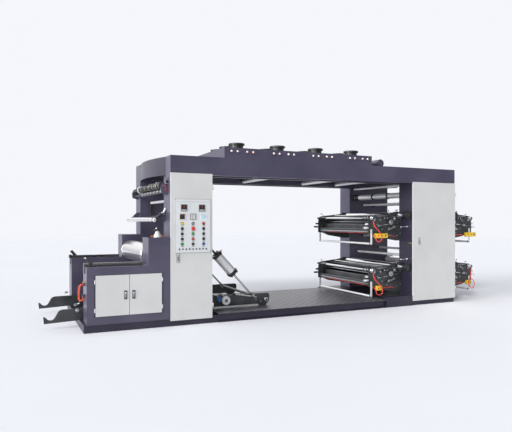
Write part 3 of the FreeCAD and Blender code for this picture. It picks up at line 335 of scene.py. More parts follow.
# colour, roughness, spread of the colour and coat
plastics = {
    "blackPlastic": ((0.018, 0.018, 0.02), 0.32),
    "whitePlastic": ((0.72, 0.72, 0.70), 0.28),
    "redPlastic": ((0.55, 0.03, 0.025), 0.25),
    "greenPlastic": ((0.03, 0.32, 0.07), 0.25),
    "bluePlastic": ((0.03, 0.10, 0.42), 0.25),
    "yellowPlastic": ((0.80, 0.52, 0.02), 0.3),
    "orangePlastic": ((0.80, 0.18, 0.02), 0.25),
    "beigePlastic": ((0.50, 0.45, 0.34), 0.35),
    "paleBlueGlass": ((0.42, 0.62, 0.72), 0.15, 0.2, 0.5),
    "redHose": ((0.74, 0.055, 0.035), 0.3, 0.15, 0.4),
    "orangeHose": ((0.86, 0.13, 0.045), 0.3, 0.15, 0.4),
    "blueMotor": ((0.03, 0.11, 0.32), 0.35),
}
finishes = {"tread": treadFinish("tread")}
for makeFinish, table in ((paintedFinish, paints), (metalFinish, metals), (glossFinish, plastics)):
    for finishName, values in table.items():
        finishes[finishName] = makeFinish(finishName, *values)
print("finishes ready")

nodeFinishes = {
    "framePaint": [
        "control_cabinet", "far_left_frame", "near_winder_frame", "far_winder_frame", "bridge_beams",
        "bridge_covers", "drying_hood", "roller_brackets",
    ],
    # the canopy takes the darkened frame paint, as painted shade
    "canopyPaint": ["left_canopy"],
    # the far right frame takes the lightened frame paint, as painted light on its shaded inner face
    "innerPaint": ["far_right_frame"],
    "basePaint": ["left_plinth", "right_plinth", "walkway_frame", "gear_cabinet"],
    "doorPaint": ["control_door", "gear_door", "winder_door_left", "winder_door_right"],
    "panelPaint": ["control_panel"],
    "tread": ["walkway_plate"],
    "darkSteel": [
        "lift_arms", "lever_beams", "left_lower_deck_frame", "left_upper_deck_frame", "right_lower_deck_frame",
        "right_upper_deck_frame", "hood_end_blower",
    ],
    "blackIron": ["drum_bearings", "reel_levers", "exhaust_collars"],
    "satin": ["bridge_idlers", "web_guide_rollers", "deck_lead_rollers", "impression_cylinders"],
    "chrome": [
        "winding_drum", "lay_on_roller", "dancer", "nip_steel_roller", "deck_grips", "side_crank",
        "left_lower_deck_plate_cylinder", "left_upper_deck_plate_cylinder",
        "right_lower_deck_plate_cylinder", "right_upper_deck_plate_cylinder",
    ],
    "rubber": ["nip_rubber_roller"],
    "greyCeramic": ["deck_inking_rollers"],
    "brushedTray": ["deck_ink_trays"],
    "railPaint": ["reel_rails"],
    "whitePlastic": ["tension_regulator", "side_lay_drive", "damper_knobs", "panel_controls"],
    "steel": ["air_cylinders"],
    "yellowPlastic": ["deck_pendants"],
    "redHose": ["left_lower_deck_hose", "left_upper_deck_hose", "right_lower_deck_hose"],
    "orangeHose": ["spiral_hose"],
}
for finishName, names in nodeFinishes.items():
    for nodeName in names:
        node = nodes[nodeName]
        if not node.material_slots:
            node.data.materials.append(finishes[finishName])
        for materialSlot in node.material_slots:
            materialSlot.material = finishes[finishName]
print("frame nodes finished")

# Camera, floor, backdrop and light

viewpoint = {
    "place": (-3.953, -7.954, 1.435),
    "heading": 24.88,
    "pitch": -0.09,
    "lens": 36.889,
    "shift": (0.0038, 0.0096),
}
heading, pitch = math.radians(viewpoint["heading"]), math.radians(viewpoint["pitch"])
ahead = Vector((math.sin(heading) * math.cos(pitch), math.cos(heading) * math.cos(pitch), math.sin(pitch)))
cameraData = bpy.data.cameras.new("viewCamera")
camera = bpy.data.objects.new("viewCamera", cameraData)
bpy.context.collection.objects.link(camera)
camera.location = viewpoint["place"]
camera.rotation_euler = ahead.to_track_quat("-Z", "Y").to_euler()
cameraData.lens = viewpoint["lens"]
cameraData.sensor_width = 36
cameraData.shift_x, cameraData.shift_y = viewpoint["shift"]
bpy.context.scene.camera = camera
bpy.context.scene.view_settings.view_transform = "Standard"

studio = {
    "floorSize": 60,
    "floorDark": (0.95, 0.96, 0.985),
    "floorLight": (0.97, 0.978, 0.995),
    "softColour": (0.88, 0.90, 1.0, 1),
    "softPower": 0.50,
    "backdropColour": (0.93, 0.945, 0.99, 1),
    "backdropPower": 0.98,
    "lowSky": (0.42, 0.42, 0.45, 1),
    "skyTurn": 0.34,
    "behindPower": 0.12,
    "aheadPower": 1.35,
}
clearSelection()
bpy.ops.mesh.primitive_plane_add(size=studio["floorSize"], location=(0, 6, -0.0005))
floor = bpy.context.object
floor.name = floor.data.name = "studioFloor"
floorMaterial, tree, shader = newMaterial("studioFloor")
tone = objectNoise(tree, 0.3, 2)
floorTone = mixedColour(tree, tone.outputs["Fac"], studio["floorDark"], studio["floorLight"])
tree.links.new(floorTone, shader.inputs["Base Color"])
shader.inputs["Roughness"].default_value = 0.9
floor.data.materials.append(floorMaterial)

world = bpy.data.worlds.new("studioAir")
bpy.context.scene.world = world
world.use_nodes = True
air = world.node_tree
air.nodes.clear()
rays = addNode(air, "ShaderNodeLightPath")
seen = addNode(air, "ShaderNodeMath", operation="MAXIMUM")
softLight = addNode(air, "ShaderNodeBackground", Color=studio["softColour"], Strength=studio["softPower"])
backdrop = addNode(
    air, "ShaderNodeBackground", Color=studio["backdropColour"], Strength=studio["backdropPower"],
)
reflected = addNode(air, "ShaderNodeBackground")
skyPlace = addNode(air, "ShaderNodeTexCoord")
skyParts = addNode(air, "ShaderNodeSeparateXYZ")
skyRamp = addNode(air, "ShaderNodeValToRGB")
skyRamp.color_ramp.elements[0].color = studio["lowSky"]
skyRamp.color_ramp.elements[1].color = (1.0, 1.0, 1.0, 1)
skyRamp.color_ramp.elements[1].position = studio["skyTurn"]
behind = addNode(air, "ShaderNodeMapRange")
for socket, value in (
    ("From Min", -1.0), ("From Max", 0.6), ("To Min", studio["behindPower"]),
    ("To Max", studio["aheadPower"]),
):
    behind.inputs[socket].default_value = value
glossAir = addNode(air, "ShaderNodeMixShader")
blendAir = addNode(air, "ShaderNodeMixShader")
airOut = addNode(air, "ShaderNodeOutputWorld")
for source, target in (
    (rays.outputs["Is Camera Ray"], seen.inputs[0]),
    (rays.outputs["Is Transmission Ray"], seen.inputs[1]),
    (skyPlace.outputs["Generated"], skyParts.inputs[0]),
    (skyParts.outputs["Z"], skyRamp.inputs["Fac"]),
    (skyParts.outputs["Y"], behind.inputs["Value"]),
    (skyRamp.outputs["Color"], reflected.inputs["Color"]),
    (behind.outputs["Result"], reflected.inputs["Strength"]),
    (rays.outputs["Is Glossy Ray"], glossAir.inputs["Fac"]),
    (softLight.outputs[0], glossAir.inputs[1]),
    (reflected.outputs[0], glossAir.inputs[2]),
    (seen.outputs[0], blendAir.inputs["Fac"]),
    (glossAir.outputs[0], blendAir.inputs[1]),
    (backdrop.outputs[0], blendAir.inputs[2]),
    (blendAir.outputs[0], airOut.inputs["Surface"]),
):
    air.links.new(source, target)

lamps = {
    "keySun": {"aim": (0.78, 0.62, -0.62), "power": 1.35, "spread": 14},
    "frontSun": {"aim": (0.55, 0.80, -0.15), "power": 0.62, "spread": 25},
    "sideSun": {"aim": (0.96, 0.10, -0.22), "power": 3.0, "spread": 30},
}
for lampName, lamp in lamps.items():
    lampData = bpy.data.lights.new(lampName, "SUN")
    lampData.energy = lamp["power"]
    lampData.angle = math.radians(lamp["spread"])
    lampObject = bpy.data.objects.new(lampName, lampData)
    lampObject.rotation_euler = Vector(lamp["aim"]).to_track_quat("-Z", "Y").to_euler()
    bpy.context.collection.objects.link(lampObject)
print("studio ready")

# Hoses


def curvePath(name, points, radius):
    curve = bpy.data.curves.new(name, "CURVE")
    curve.dimensions = "3D"
    spline = curve.splines.new("NURBS")
    spline.points.add(len(points) - 1)
    for spot, point in zip(spline.points, points):
        spot.co = (*point, 1)
    spline.order_u = 3
    spline.use_endpoint_u = True
    spline.resolution_u = 12
    curve.bevel_depth = radius
    curve.bevel_resolution = 4
    curve.use_fill_caps = True
    piece = bpy.data.objects.new(name, curve)
    bpy.context.collection.objects.link(piece)
    return piece


def routeLength(piece):
    bare = piece.data.copy()
    bare.bevel_depth = 0
    probe = bpy.data.objects.new("probe", bare)
    mesh = bpy.data.meshes.new_from_object(probe)
    spots = [vertex.co.copy() for vertex in mesh.vertices]
    bpy.data.objects.remove(probe)
    return spots, sum((b - a).length for a, b in zip(spots, spots[1:]))


deckHoses = {
    "leftLowerHose": {
        "node": "left_lower_deck_hose",
        "route": [
            (1.538, -0.850, 0.548), (1.538, -0.850, 0.480), (1.588, -0.873, 0.405), (1.659, -0.885, 0.340),
            (1.707, -0.887, 0.265), (1.681, -0.887, 0.195), (1.617, -0.885, 0.178), (1.571, -0.883, 0.215),
            (1.563, -0.883, 0.266), (1.565, -0.849, 0.300), (1.565, -0.805, 0.300),
        ],
    },
    "leftUpperHose": {
        "node": "left_upper_deck_hose",
        "route": [
            (1.538, -0.850, 1.428), (1.538, -0.850, 1.358), (1.590, -0.875, 1.285), (1.654, -0.885, 1.225),
            (1.693, -0.887, 1.152), (1.671, -0.887, 1.086), (1.611, -0.885, 1.068), (1.569, -0.883, 1.102),
            (1.565, -0.883, 1.146), (1.565, -0.849, 1.180), (1.565, -0.805, 1.180),
        ],
    },
    "rightLowerHose": {
        "node": "right_lower_deck_hose",
        "route": [
            (3.760, -0.850, 0.548), (3.760, -0.850, 0.480), (3.712, -0.875, 0.405), (3.664, -0.889, 0.328),
            (3.662, -0.891, 0.250), (3.706, -0.891, 0.190), (3.768, -0.889, 0.184), (3.806, -0.885, 0.232),
            (3.794, -0.883, 0.311), (3.793, -0.849, 0.345), (3.793, -0.805, 0.345),
        ],
    },
}
for hoseName, hose in deckHoses.items():
    piece = curvePath(hoseName, hose["route"], 0.008)
    dress(piece, "redHose")
    spots, hoseLength = routeLength(piece)
    keep(piece, "frame", [hose["node"]])
    print(hoseName, round(hoseLength, 4))

spiralHose = {
    "route": [
        (-3.103, -0.875, 0.600), (-3.148, -0.875, 0.600), (-3.158, -0.875, 0.534), (-3.159, -0.875, 0.450),
        (-3.157, -0.875, 0.394), (-3.106, -0.875, 0.394), (-3.106, -0.875, 0.445),
    ],
    "radius": 0.011,
    "thickness": 0.008,
    "turns": 18,
    "pointsPerTurn": 10,
    "taper": 12,
}
path = curvePath("spiralPath", spiralHose["route"], 0)
spots, pathLength = routeLength(path)
bpy.data.objects.remove(path)
helix = []
steps = spiralHose["turns"] * spiralHose["pointsPerTurn"]
for index in range(steps + 1):
    share = index / steps
    travelled, target = 0, share * pathLength
    for a, b in zip(spots, spots[1:]):
        run = (b - a).length
        if travelled + run >= target - 1e-9:
            centre = a.lerp(b, (target - travelled) / run if run else 0)
            along = (b - a).normalized()
            break
        travelled += run
    side = Vector(toBack)
    up = along.cross(side).normalized()
    angle = math.tau * spiralHose["turns"] * share
    spread = spiralHose["radius"] * min(1, spiralHose["taper"] * share, spiralHose["taper"] * (1 - share))
    helix.append(centre + side * math.cos(angle) * spread + up * math.sin(angle) * spread)
piece = curvePath("spiralHose", helix, spiralHose["thickness"] / 2)
piece.data.splines[0].resolution_u = 3
dress(piece, "orangeHose")
spots, coilLength = routeLength(piece)
keep(piece, "frame", ["spiral_hose"])
print("hoses ready", round(coilLength, 3))

# Control panel

panel = {
    "face": -1.095,
    "low": (-1.949, 0.989),
    "high": (-1.435, 1.723),
    "controllers": [(-1.820, 1.602), (-1.564, 1.602)],
    "controllerSide": 0.094,
    "readings": [("186", 0.014, 0.020), ("150", 0.009, 0.002)],
    "meters": [
        (-1.845, "beigePlastic", "blackPlastic"),
        (-1.692, "greyCeramic", "greyCeramic"),
        (-1.539, "whitePlastic", "paleBlueGlass"),
    ],
    "meterRow": 1.481,
    "meterSide": 0.082,
    "columns": (-1.845, -1.692, -1.539),
    "rows": (1.388, 1.318, 1.248, 1.178, 1.108),
    "caps": [
        ("yellowPlastic", "steel", "redPlastic"),
        ("blackPlastic", "redPlastic", "blackPlastic"),
        ("blackPlastic", "greenPlastic", "blackPlastic"),
        ("blackPlastic", "redPlastic", "blackPlastic"),
        ("greenPlastic", "blackPlastic", "bluePlastic"),
    ],
    "bezel": [(0.0225, 0.003), (0.0200, 0.002)],
    "cap": [(0.0155, 0.007), (0.0125, 0.002)],
    "stopCap": [(0.012, 0.005), (0.027, 0.006), (0.021, 0.002)],
    "toggles": 9,
    "toggleFirst": 0.065,
    "togglePitch": 0.048,
    "toggleRow": 1.040,
    "screwColumns": (-1.938, -1.446),
    "screwRows": (1.001, 1.356, 1.711),
    "strip": 0.004,
    "headLine": 1.683,
}
digitMaterial, tree, shader = newMaterial("redDigits")
glow = objectNoise(tree, 90, 2)
tree.links.new(
    mixedColour(tree, glow.outputs["Fac"], (0.55, 0.02, 0.01), (0.9, 0.06, 0.03)),
    shader.inputs["Base Color"],
)
shader.inputs["Emission Color"].default_value = (0.9, 0.05, 0.02, 1)
shader.inputs["Emission Strength"].default_value = 0.5
finishes["redDigits"] = digitMaterial


def numberPiece(name, digits, x, y, z, height, finish):
    clearSelection()
    bpy.ops.object.text_add(location=(0, 0, 0), rotation=(math.radians(90), 0, 0))
    words = bpy.context.object
    words.data.body = digits
    words.data.size = height
    words.data.extrude = 0.0003
    bpy.ops.object.convert(target="MESH")
    piece = bpy.context.object
    piece.name = piece.data.name = name
    settle(piece)
    low = [min(v.co[k] for v in piece.data.vertices) for k in range(3)]
    high = [max(v.co[k] for v in piece.data.vertices) for k in range(3)]
    shift = Vector((x - (low[0] + high[0]) / 2, y - high[1], z - (low[2] + high[2]) / 2))
    piece.data.transform(Matrix.Translation(shift))
    return dress(piece, finish)


def framedFace(name, x, z, width, height, y, proud, rim, shell, face):
    # a housing whose front face is inset and pushed back behind its rim
    clearSelection()
    bpy.ops.mesh.primitive_cube_add(size=1, location=(x, y - proud / 2, z))
    piece = bpy.context.object
    piece.name = piece.data.name = name
    piece.scale = (width, proud, height)
    settle(piece)
    piece.data.materials.append(finishes[shell])
    piece.data.materials.append(finishes[face])
    bpy.ops.object.mode_set(mode="EDIT")
    bpy.ops.mesh.select_mode(type="FACE")
    bpy.ops.mesh.select_all(action="DESELECT")
    bpy.ops.object.mode_set(mode="OBJECT")
    for polygon in piece.data.polygons:
        polygon.select = polygon.normal.y < -0.9
    bpy.ops.object.mode_set(mode="EDIT")
    bpy.ops.mesh.inset(thickness=rim)
    bpy.ops.mesh.extrude_region_move(TRANSFORM_OT_translate={"value": (0, proud * 0.3, 0)})
    bpy.ops.object.mode_set(mode="OBJECT")
    for polygon in piece.data.polygons:
        if polygon.select:
            polygon.material_index = 1
    bevelEdges(piece, 0.0012, 1)
    return piece


face, meterRow = panel["face"], panel["meterRow"]
digitFace = face - 0.0062
parts = []
for index, (x, z) in enumerate(panel["controllers"]):
    side = panel["controllerSide"]
    parts.append(framedFace(
        f"controller{index}", x, z, side, side, face, 0.009, 0.006, "greyCeramic", "blackPlastic",
    ))
    for row, (digits, size, drop) in enumerate(panel["readings"]):
        parts.append(numberPiece(f"reading{index}{row}", digits, x, digitFace, z + drop, size, "redDigits"))
    for key in range(4):
        keyX = x - 0.036 + key * 0.019
        low, high = (keyX, face - 0.0085, z - 0.036), (keyX + 0.014, face - 0.005, z - 0.024)
        parts.append(boxPiece(f"key{index}{key}", low, high, 0.001, "whitePlastic"))
for index, (x, shell, front) in enumerate(panel["meters"]):
    side = panel["meterSide"]
    parts.append(framedFace(f"meter{index}", x, meterRow, side, side, face, 0.009, 0.007, shell, front))
    if index == 0:
        parts.append(numberPiece(
            "countReading", "0472", x, digitFace, meterRow + 0.012, 0.010, "redDigits",
        ))
    if index == 1:
        for row in range(4):
            for column in range(3):
                keyX, keyZ = x - 0.022 + column * 0.022, meterRow + 0.024 - row * 0.017
                low = (keyX - 0.008, face - 0.0088, keyZ - 0.006)
                high = (keyX + 0.008, face - 0.0055, keyZ + 0.006)
                parts.append(boxPiece(f"pad{row}{column}", low, high, 0.001, "whitePlastic"))
    if index == 2:
        dialFace = face - 0.0075
        parts.append(ringPiece(
            "dialRim", (x, face - 0.0068, meterRow + 0.004), toBack, 0.026, 0.0018, "steel",
        ))
        pivot, tip = (x - 0.002, dialFace, meterRow - 0.004), (x + 0.014, dialFace, meterRow + 0.018)
        parts.append(rodPiece("dialNeedle", pivot, tip, 0.0009, 6, "redPlastic", 0))
for row, z in enumerate(panel["rows"]):
    for column, x in enumerate(panel["columns"]):
        stopButton = row == 1 and column == 1
        cap = panel["stopCap"] if stopButton else panel["cap"]
        parts.append(turnedPiece(
            f"bezel{row}{column}", (x, face, z), toFront, panel["bezel"], 24, "blackPlastic",
        ))
        parts.append(turnedPiece(
            f"cap{row}{column}", (x, face - 0.004, z), toFront, cap, 20, panel["caps"][row][column],
        ))
        if row == 0 and column == 1:
            low, high = (x - 0.0025, face - 0.0155, z - 0.009), (x + 0.0025, face - 0.012, z + 0.009)
            parts.append(boxPiece("keyHandle", low, high, 0.001, "blackPlastic"))
for index in range(panel["toggles"]):
    x, z = panel["low"][0] + panel["toggleFirst"] + index * panel["togglePitch"], panel["toggleRow"]
    parts.append(turnedPiece(
        f"toggleNut{index}", (x, face, z), toFront, [(0.012, 0.003), (0.008, 0.002)], 6, "blackPlastic",
    ))
    lean = 0.012 if index % 2 else -0.012
    parts.append(rodPiece(
        f"toggle{index}", (x, face - 0.004, z), (x, face - 0.014, z + lean), 0.0045, 10, "blackPlastic", 0,
    ))
for index, (x, z) in enumerate((x, z) for x in panel["screwColumns"] for z in panel["screwRows"]):
    parts.append(turnedPiece(
        f"panelScrew{index}", (x, face, z), toFront, [(0.005, 0.0015), (0.0035, 0.001)], 12, "steel",
    ))
keep(joinPieces("panelControls", parts), "control_door", ["panel_controls"])
(leftEdge, lowEdge), (rightEdge, highEdge), strip = panel["low"], panel["high"], panel["strip"]
trim = []
for low, high in (
    ((leftEdge, lowEdge), (rightEdge, lowEdge + strip)),
    ((leftEdge, highEdge - strip), (rightEdge, highEdge)),
    ((leftEdge, lowEdge), (leftEdge + strip, highEdge)),
    ((rightEdge - strip, lowEdge), (rightEdge, highEdge)),
    ((leftEdge + 0.019, panel["headLine"]), (rightEdge - 0.019, panel["headLine"] + 0.003)),
):
    low, high = (low[0], face - 0.0016, low[1]), (high[0], face + 0.001, high[1])
    trim.append(boxPiece("trimStrip", low, high, 0.0006, "greyCeramic"))
for z in panel["rows"]:
    for x in panel["columns"]:
        low, high = (x - 0.021, face - 0.0014, z - 0.036), (x + 0.021, face + 0.001, z - 0.030)
        trim.append(boxPiece("captionStrip", low, high, 0.0005, "darkSteel"))
keep(joinPieces("panelTrim", trim), "control_door")
print("panel ready")

# Door latches

latches = {
    "controlLatch": {
        "body": "control_door", "spot": (-1.903, 0.925), "size": (0.031, 0.118), "face": -1.087,
    },
    "gearLatch": {"body": "gear_door", "spot": (2.308, 1.079), "size": (0.031, 0.118), "face": -1.087},
    "winderLatchLeft": {
        "body": "left_winder_door", "spot": (-2.603, 0.466), "size": (0.034, 0.104), "face": -1.083,
    },
    "winderLatchRight": {
        "body": "right_winder_door", "spot": (-2.497, 0.466), "size": (0.034, 0.104), "face": -1.083,
    },
}
for latchName, latch in latches.items():
    x, z = latch["spot"]
    wide, high = latch["size"]
    y = latch["face"] - 0.006
    leverLow = (x - wide * 0.28, y - 0.008, z - high * 0.36)
    leverHigh = (x + wide * 0.28, y, z + high * 0.12)
    parts = [
        framedFace(
            latchName + "Plate", x, z, wide + 0.008, high + 0.010, latch["face"], 0.008, 0.004,
            "greyCeramic", "blackPlastic",
        ),
        boxPiece(latchName + "Lever", leverLow, leverHigh, 0.003, "greyCeramic"),
        turnedPiece(
            latchName + "Lock", (x, y, z + high * 0.30), toFront, [(0.0065, 0.004), (0.0045, 0.001)], 16,
            "chrome",
        ),
    ]
    keep(joinPieces(latchName, parts), latch["body"])

# Hood: damper knobs, exhaust collars and end blower

hood = {
    "columns": [0.055 + 0.67158 * (k - 1.5) for k in range(4)],
    "offsets": (-0.165, -0.071, 0.078, 0.172),
    "knobHeight": 2.410,
    "rows": (-0.875, -0.495, -0.115),
    "top": 2.465,
    "collar": [
        (0.112, 0.004), (0.098, 0.052), (0.104, 0.006), (0.118, 0.004), (0.119, 0.018),
        (0.112, 0.004), (0.092, 0.001), (0.090, -0.030), (0.001, 0.0),
    ],
    "bolts": 8,
    "boltCircle": 0.108,
}
knob = joinPieces("damperKnob", [
    turnedPiece("knobStem", (0, -1.075, 0), toFront, [(0.011, 0.003), (0.006, 0.012)], 12, "steel"),
    ballPiece("knobBall", (-0.005, -1.097, 0.002), 0.0155, "whitePlastic", 7),
    ballPiece("knobCap", (0.008, -1.096, -0.003), 0.0115, "redPlastic", 6),
])
knobs = []
for column in hood["columns"]:
    for offset in hood["offsets"]:
        knobs.append(copyPiece(knob, "damperKnobCopy", (column + offset, 0, hood["knobHeight"])))
bpy.data.objects.remove(knob)
keep(joinPieces("damperKnobs", knobs), "frame", ["damper_knobs"])

collar = turnedPiece("exhaustCollar", (0, 0, hood["top"]), upward, hood["collar"], 36, "blackIron", 0)
bolts = []
for index in range(hood["bolts"]):
    angle = math.tau * index / hood["bolts"]
    spot = (hood["boltCircle"] * math.cos(angle), hood["boltCircle"] * math.sin(angle), hood["top"] + 0.060)
    bolts.append(turnedPiece(f"collarBolt{index}", spot, upward, [(0.006, 0.004)], 6, "steel"))
collar = joinPieces("exhaustCollar", [collar] + bolts)
collars = [copyPiece(collar, "collarCopy", (x, y, 0)) for x in hood["columns"] for y in hood["rows"]]
bpy.data.objects.remove(collar)
keep(joinPieces("exhaustCollars", collars), "frame", ["exhaust_collars"])

blower = {
    "place": (1.650, -0.905, 2.383),
    "steps": [
        (0.040, 0.004), (0.062, 0.010), (0.0675, 0.060), (0.0645, 0.008), (0.0675, 0.150), (0.060, 0.030),
        (0.040, 0.030),
    ],
}
x, y, z = blower["place"]
parts = [
    turnedPiece("blowerDrum", blower["place"], toBack, blower["steps"], 32, "framePaint"),
    boxPiece(
        "blowerFoot", (x - 0.055, y + 0.060, 2.315), (x + 0.055, y + 0.250, 2.335), 0.004, "framePaint",
    ),
]
keep(joinPieces("hoodBlower", parts), "frame", ["hood_end_blower"])
print("hood ready")

# Push-button boxes on the decks

pendants = {
    "leftLowerPendant": {
        "low": (1.614, 0.250), "width": 0.112, "back": -0.795, "buttons": ("redPlastic", "greenPlastic"),
    },
    "leftUpperPendant": {
        "low": (1.592, 1.130), "width": 0.250, "back": -0.795,
        "buttons": ("redPlastic", "greenPlastic", "blackPlastic"),
    },
    "rightLowerPendant": {
        "low": (3.654, 0.250), "width": 0.112, "back": -0.802, "buttons": ("redPlastic", "greenPlastic"),
    },
    "rightUpperPendant": {
        "low": (3.627, 1.130), "width": 0.250, "back": -0.802,
        "buttons": ("redPlastic", "greenPlastic", "blackPlastic"),
    },
}
parts = []
for pendantName, pendant in pendants.items():
    x, z = pendant["low"]
    wide, back = pendant["width"], pendant["back"]
    parts.append(boxPiece(
        pendantName, (x, back - 0.052, z), (x + wide, back, z + 0.080), 0.009, "yellowPlastic",
    ))
    parts.append(boxPiece(
        pendantName + "Lid", (x + 0.004, back - 0.056, z + 0.004),
        (x + wide - 0.004, back - 0.050, z + 0.076), 0.003, "yellowPlastic",
    ))
    count = len(pendant["buttons"])
    for index, colour in enumerate(pendant["buttons"]):
        buttonX = x + wide * (index + 0.7) / (count + 0.4)
        parts.append(turnedPiece(
            f"{pendantName}Button{index}", (buttonX, back - 0.056, z + 0.042), toFront,
            [(0.015, 0.002), (0.011, 0.002)], 16, colour,
        ))
    for cornerX in (x + 0.010, x + wide - 0.010):
        for cornerZ in (z + 0.010, z + 0.070):
            parts.append(turnedPiece(
                "lidScrew", (cornerX, back - 0.056, cornerZ), toFront, [(0.004, 0.001)], 8, "steel",
            ))
keep(joinPieces("deckPendants", parts), "frame", ["deck_pendants"])
print("pendants ready")

# Inking decks, modelled once at the lower left and copied to the other three places

deck = {
    "near": (-0.795, -0.770),
    "far": (0.770, 0.795),
    "plateAxis": (2.110, 0.640),
    "aniloxAxis": (2.014, 0.584),
    "fountainAxis": (1.930, 0.517),
    "shaftAxis": (1.538, 0.590),
    "rise": 0.880,
    "mirrorPlane": 2.649,
    "plateBolts": [
        (1.700, 0.620), (1.760, 0.400), (1.660, 0.480), (1.860, 0.330),
        (2.080, 0.290), (2.150, 0.560), (2.150, 0.330), (1.600, 0.450),
    ],
    "couplingSteps": [
        (0.040, 0.006), (0.056, 0.006), (0.0615, 0.020), (0.057, 0.004), (0.0615, 0.020),
        (0.057, 0.004), (0.0615, 0.020), (0.054, 0.010), (0.036, 0.010),
    ],
    "nearBoxes": [
        ("spindleBracketA", (1.735, 0.452), (1.765, 0.484), 0.029, 0.003, "darkSteel"),
        ("spindleBracketB", (2.050, 0.488), (2.085, 0.522), 0.029, 0.003, "darkSteel"),
        ("airRodEye", (2.068, 0.446), (2.096, 0.474), 0.036, 0.004, "darkSteel"),
        ("airBarrelFoot", (1.838, 0.370), (1.866, 0.402), 0.036, 0.004, "darkSteel"),
        ("pressureBlock", (2.040, 0.640), (2.082, 0.690), 0.040, 0.004, "blackIron"),
        ("headBracket", (1.560, 0.540), (1.600, 0.600), 0.030, 0.004, "steel"),
        ("coverNear", (1.760, 0.560), (1.862, 0.612), 0.030, 0.006, "blackIron"),
    ],
    "airFittings": [(1.890, 0.418), (1.985, 0.447)],
    "hanger": 1.533,
    "leadAxis": 0.158,
    "gripAxes": (0.425, 0.487),
    "gripFace": 1.478,
    "gripMiddle": 0.7825,
}


def gearPiece(name, start, direction, radius, tooth, thickness, teeth, finish):
    clearSelection()
    bpy.ops.mesh.primitive_cylinder_add(vertices=teeth * 2, radius=radius - tooth, depth=thickness)
    piece = bpy.context.object
    piece.name = piece.data.name = name
    bpy.ops.object.mode_set(mode="EDIT")
    bpy.ops.mesh.select_mode(type="FACE")
    bpy.ops.mesh.select_all(action="DESELECT")
    bpy.ops.object.mode_set(mode="OBJECT")
    sides = [polygon for polygon in piece.data.polygons if abs(polygon.normal.z) < 0.5]
    sides.sort(key=lambda polygon: math.atan2(polygon.center.y, polygon.center.x))
    for index, polygon in enumerate(sides):
        polygon.select = index % 2 == 0
    bpy.ops.object.mode_set(mode="EDIT")
    bpy.ops.mesh.extrude_faces_move(TRANSFORM_OT_shrink_fatten={"value": tooth})
    bpy.ops.mesh.select_all(action="SELECT")
    bpy.ops.mesh.normals_make_consistent(inside=False)
    bpy.ops.object.mode_set(mode="OBJECT")
    piece.rotation_mode = "QUATERNION"
    direction = Vector(direction).normalized()
    piece.rotation_quaternion = direction.to_track_quat("Z", "Y")
    piece.location = Vector(start) + direction * thickness / 2
    settle(piece)
    bpy.ops.object.shade_smooth_by_angle(angle=math.radians(30))
    return dress(piece, finish)


def hexBolt(name, spot, direction, size=0.007):
    return turnedPiece(name, spot, direction, [(size * 1.35, 0.0012), (size, size * 0.75)], 6, "steel", 0)


def clampLever(name, spot, tip, axis, ball=0.010):
    # a hub, a thin arm and a ball grip
    spot, tip, axis = Vector(spot), Vector(tip), Vector(axis).normalized()
    return [
        turnedPiece(
            name + "Hub", spot - axis * 0.004, axis, [(0.012, 0.004), (0.010, 0.012), (0.007, 0.003)], 16,
            "steel",
        ),
        rodPiece(name + "Arm", spot + axis * 0.008, tip, 0.0038, 10, "chrome", 0),
        ballPiece(name + "Ball", tip, ball, "blackPlastic", 8),
    ]


(nearFace, nearInner), (farInner, farFace) = deck["near"], deck["far"]
shaftX, shaftZ = deck["shaftAxis"]
parts = [
    turnedPiece("shaftSleeve", (shaftX, nearInner + 0.001, shaftZ), toBack, [
        (0.026, 0.012), (0.0205, 0.020), (0.0195, 1.474), (0.0205, 0.020), (0.026, 0.012),
    ], 28, "chrome"),
    turnedPiece("shaftNearEnd", (shaftX, nearFace + 0.0005, shaftZ), toFront, [
        (0.036, 0.012), (0.030, 0.016), (0.024, 0.018), (0.028, 0.008), (0.0195, 0.012), (0.014, 0.004),
    ], 24, "chrome"),
    turnedPiece("shaftFarEnd", (shaftX, farFace + 0.0005, shaftZ), toBack, [
        (0.030, 0.010), (0.0215, 0.024), (0.026, 0.020), (0.0205, 0.024), (0.0190, 0.018),
    ], 24, "blackIron"),
    turnedPiece(
        "shaftFarCone", (shaftX, farFace + 0.096, shaftZ), toBack, [(0.0185, 0.003), (0.010, 0.001)], 24,
        "blackIron",
    ),
]
for index, y in enumerate((nearInner + 0.060, nearInner + 0.150, farInner - 0.150, farInner - 0.060)):
    parts.append(turnedPiece(
        f"shaftCollar{index}", (shaftX, y - 0.011, shaftZ), toBack,
        [(0.028, 0.003), (0.032, 0.016), (0.028, 0.003)], 24, "steel",
    ))
    parts.append(boxPiece(
        f"shaftClamp{index}", (shaftX - 0.055, y - 0.012, shaftZ - 0.016),
        (shaftX + 0.030, y + 0.012, shaftZ + 0.012), 0.003, "blackIron" if index > 1 else "steel",
    ))
    parts.append(hexBolt(f"shaftClampBolt{index}", (shaftX - 0.042, y, shaftZ + 0.012), upward))
parts += clampLever(
    "shaftLeverFar", (shaftX + 0.010, 0.640, shaftZ + 0.020), (shaftX - 0.075, 0.655, shaftZ + 0.085),
    (0, 0.2, 1),
)
parts += clampLever(
    "shaftLeverNear", (shaftX + 0.060, -0.715, shaftZ + 0.026), (shaftX + 0.010, -0.735, shaftZ + 0.075),
    (0, -0.2, 1),
)

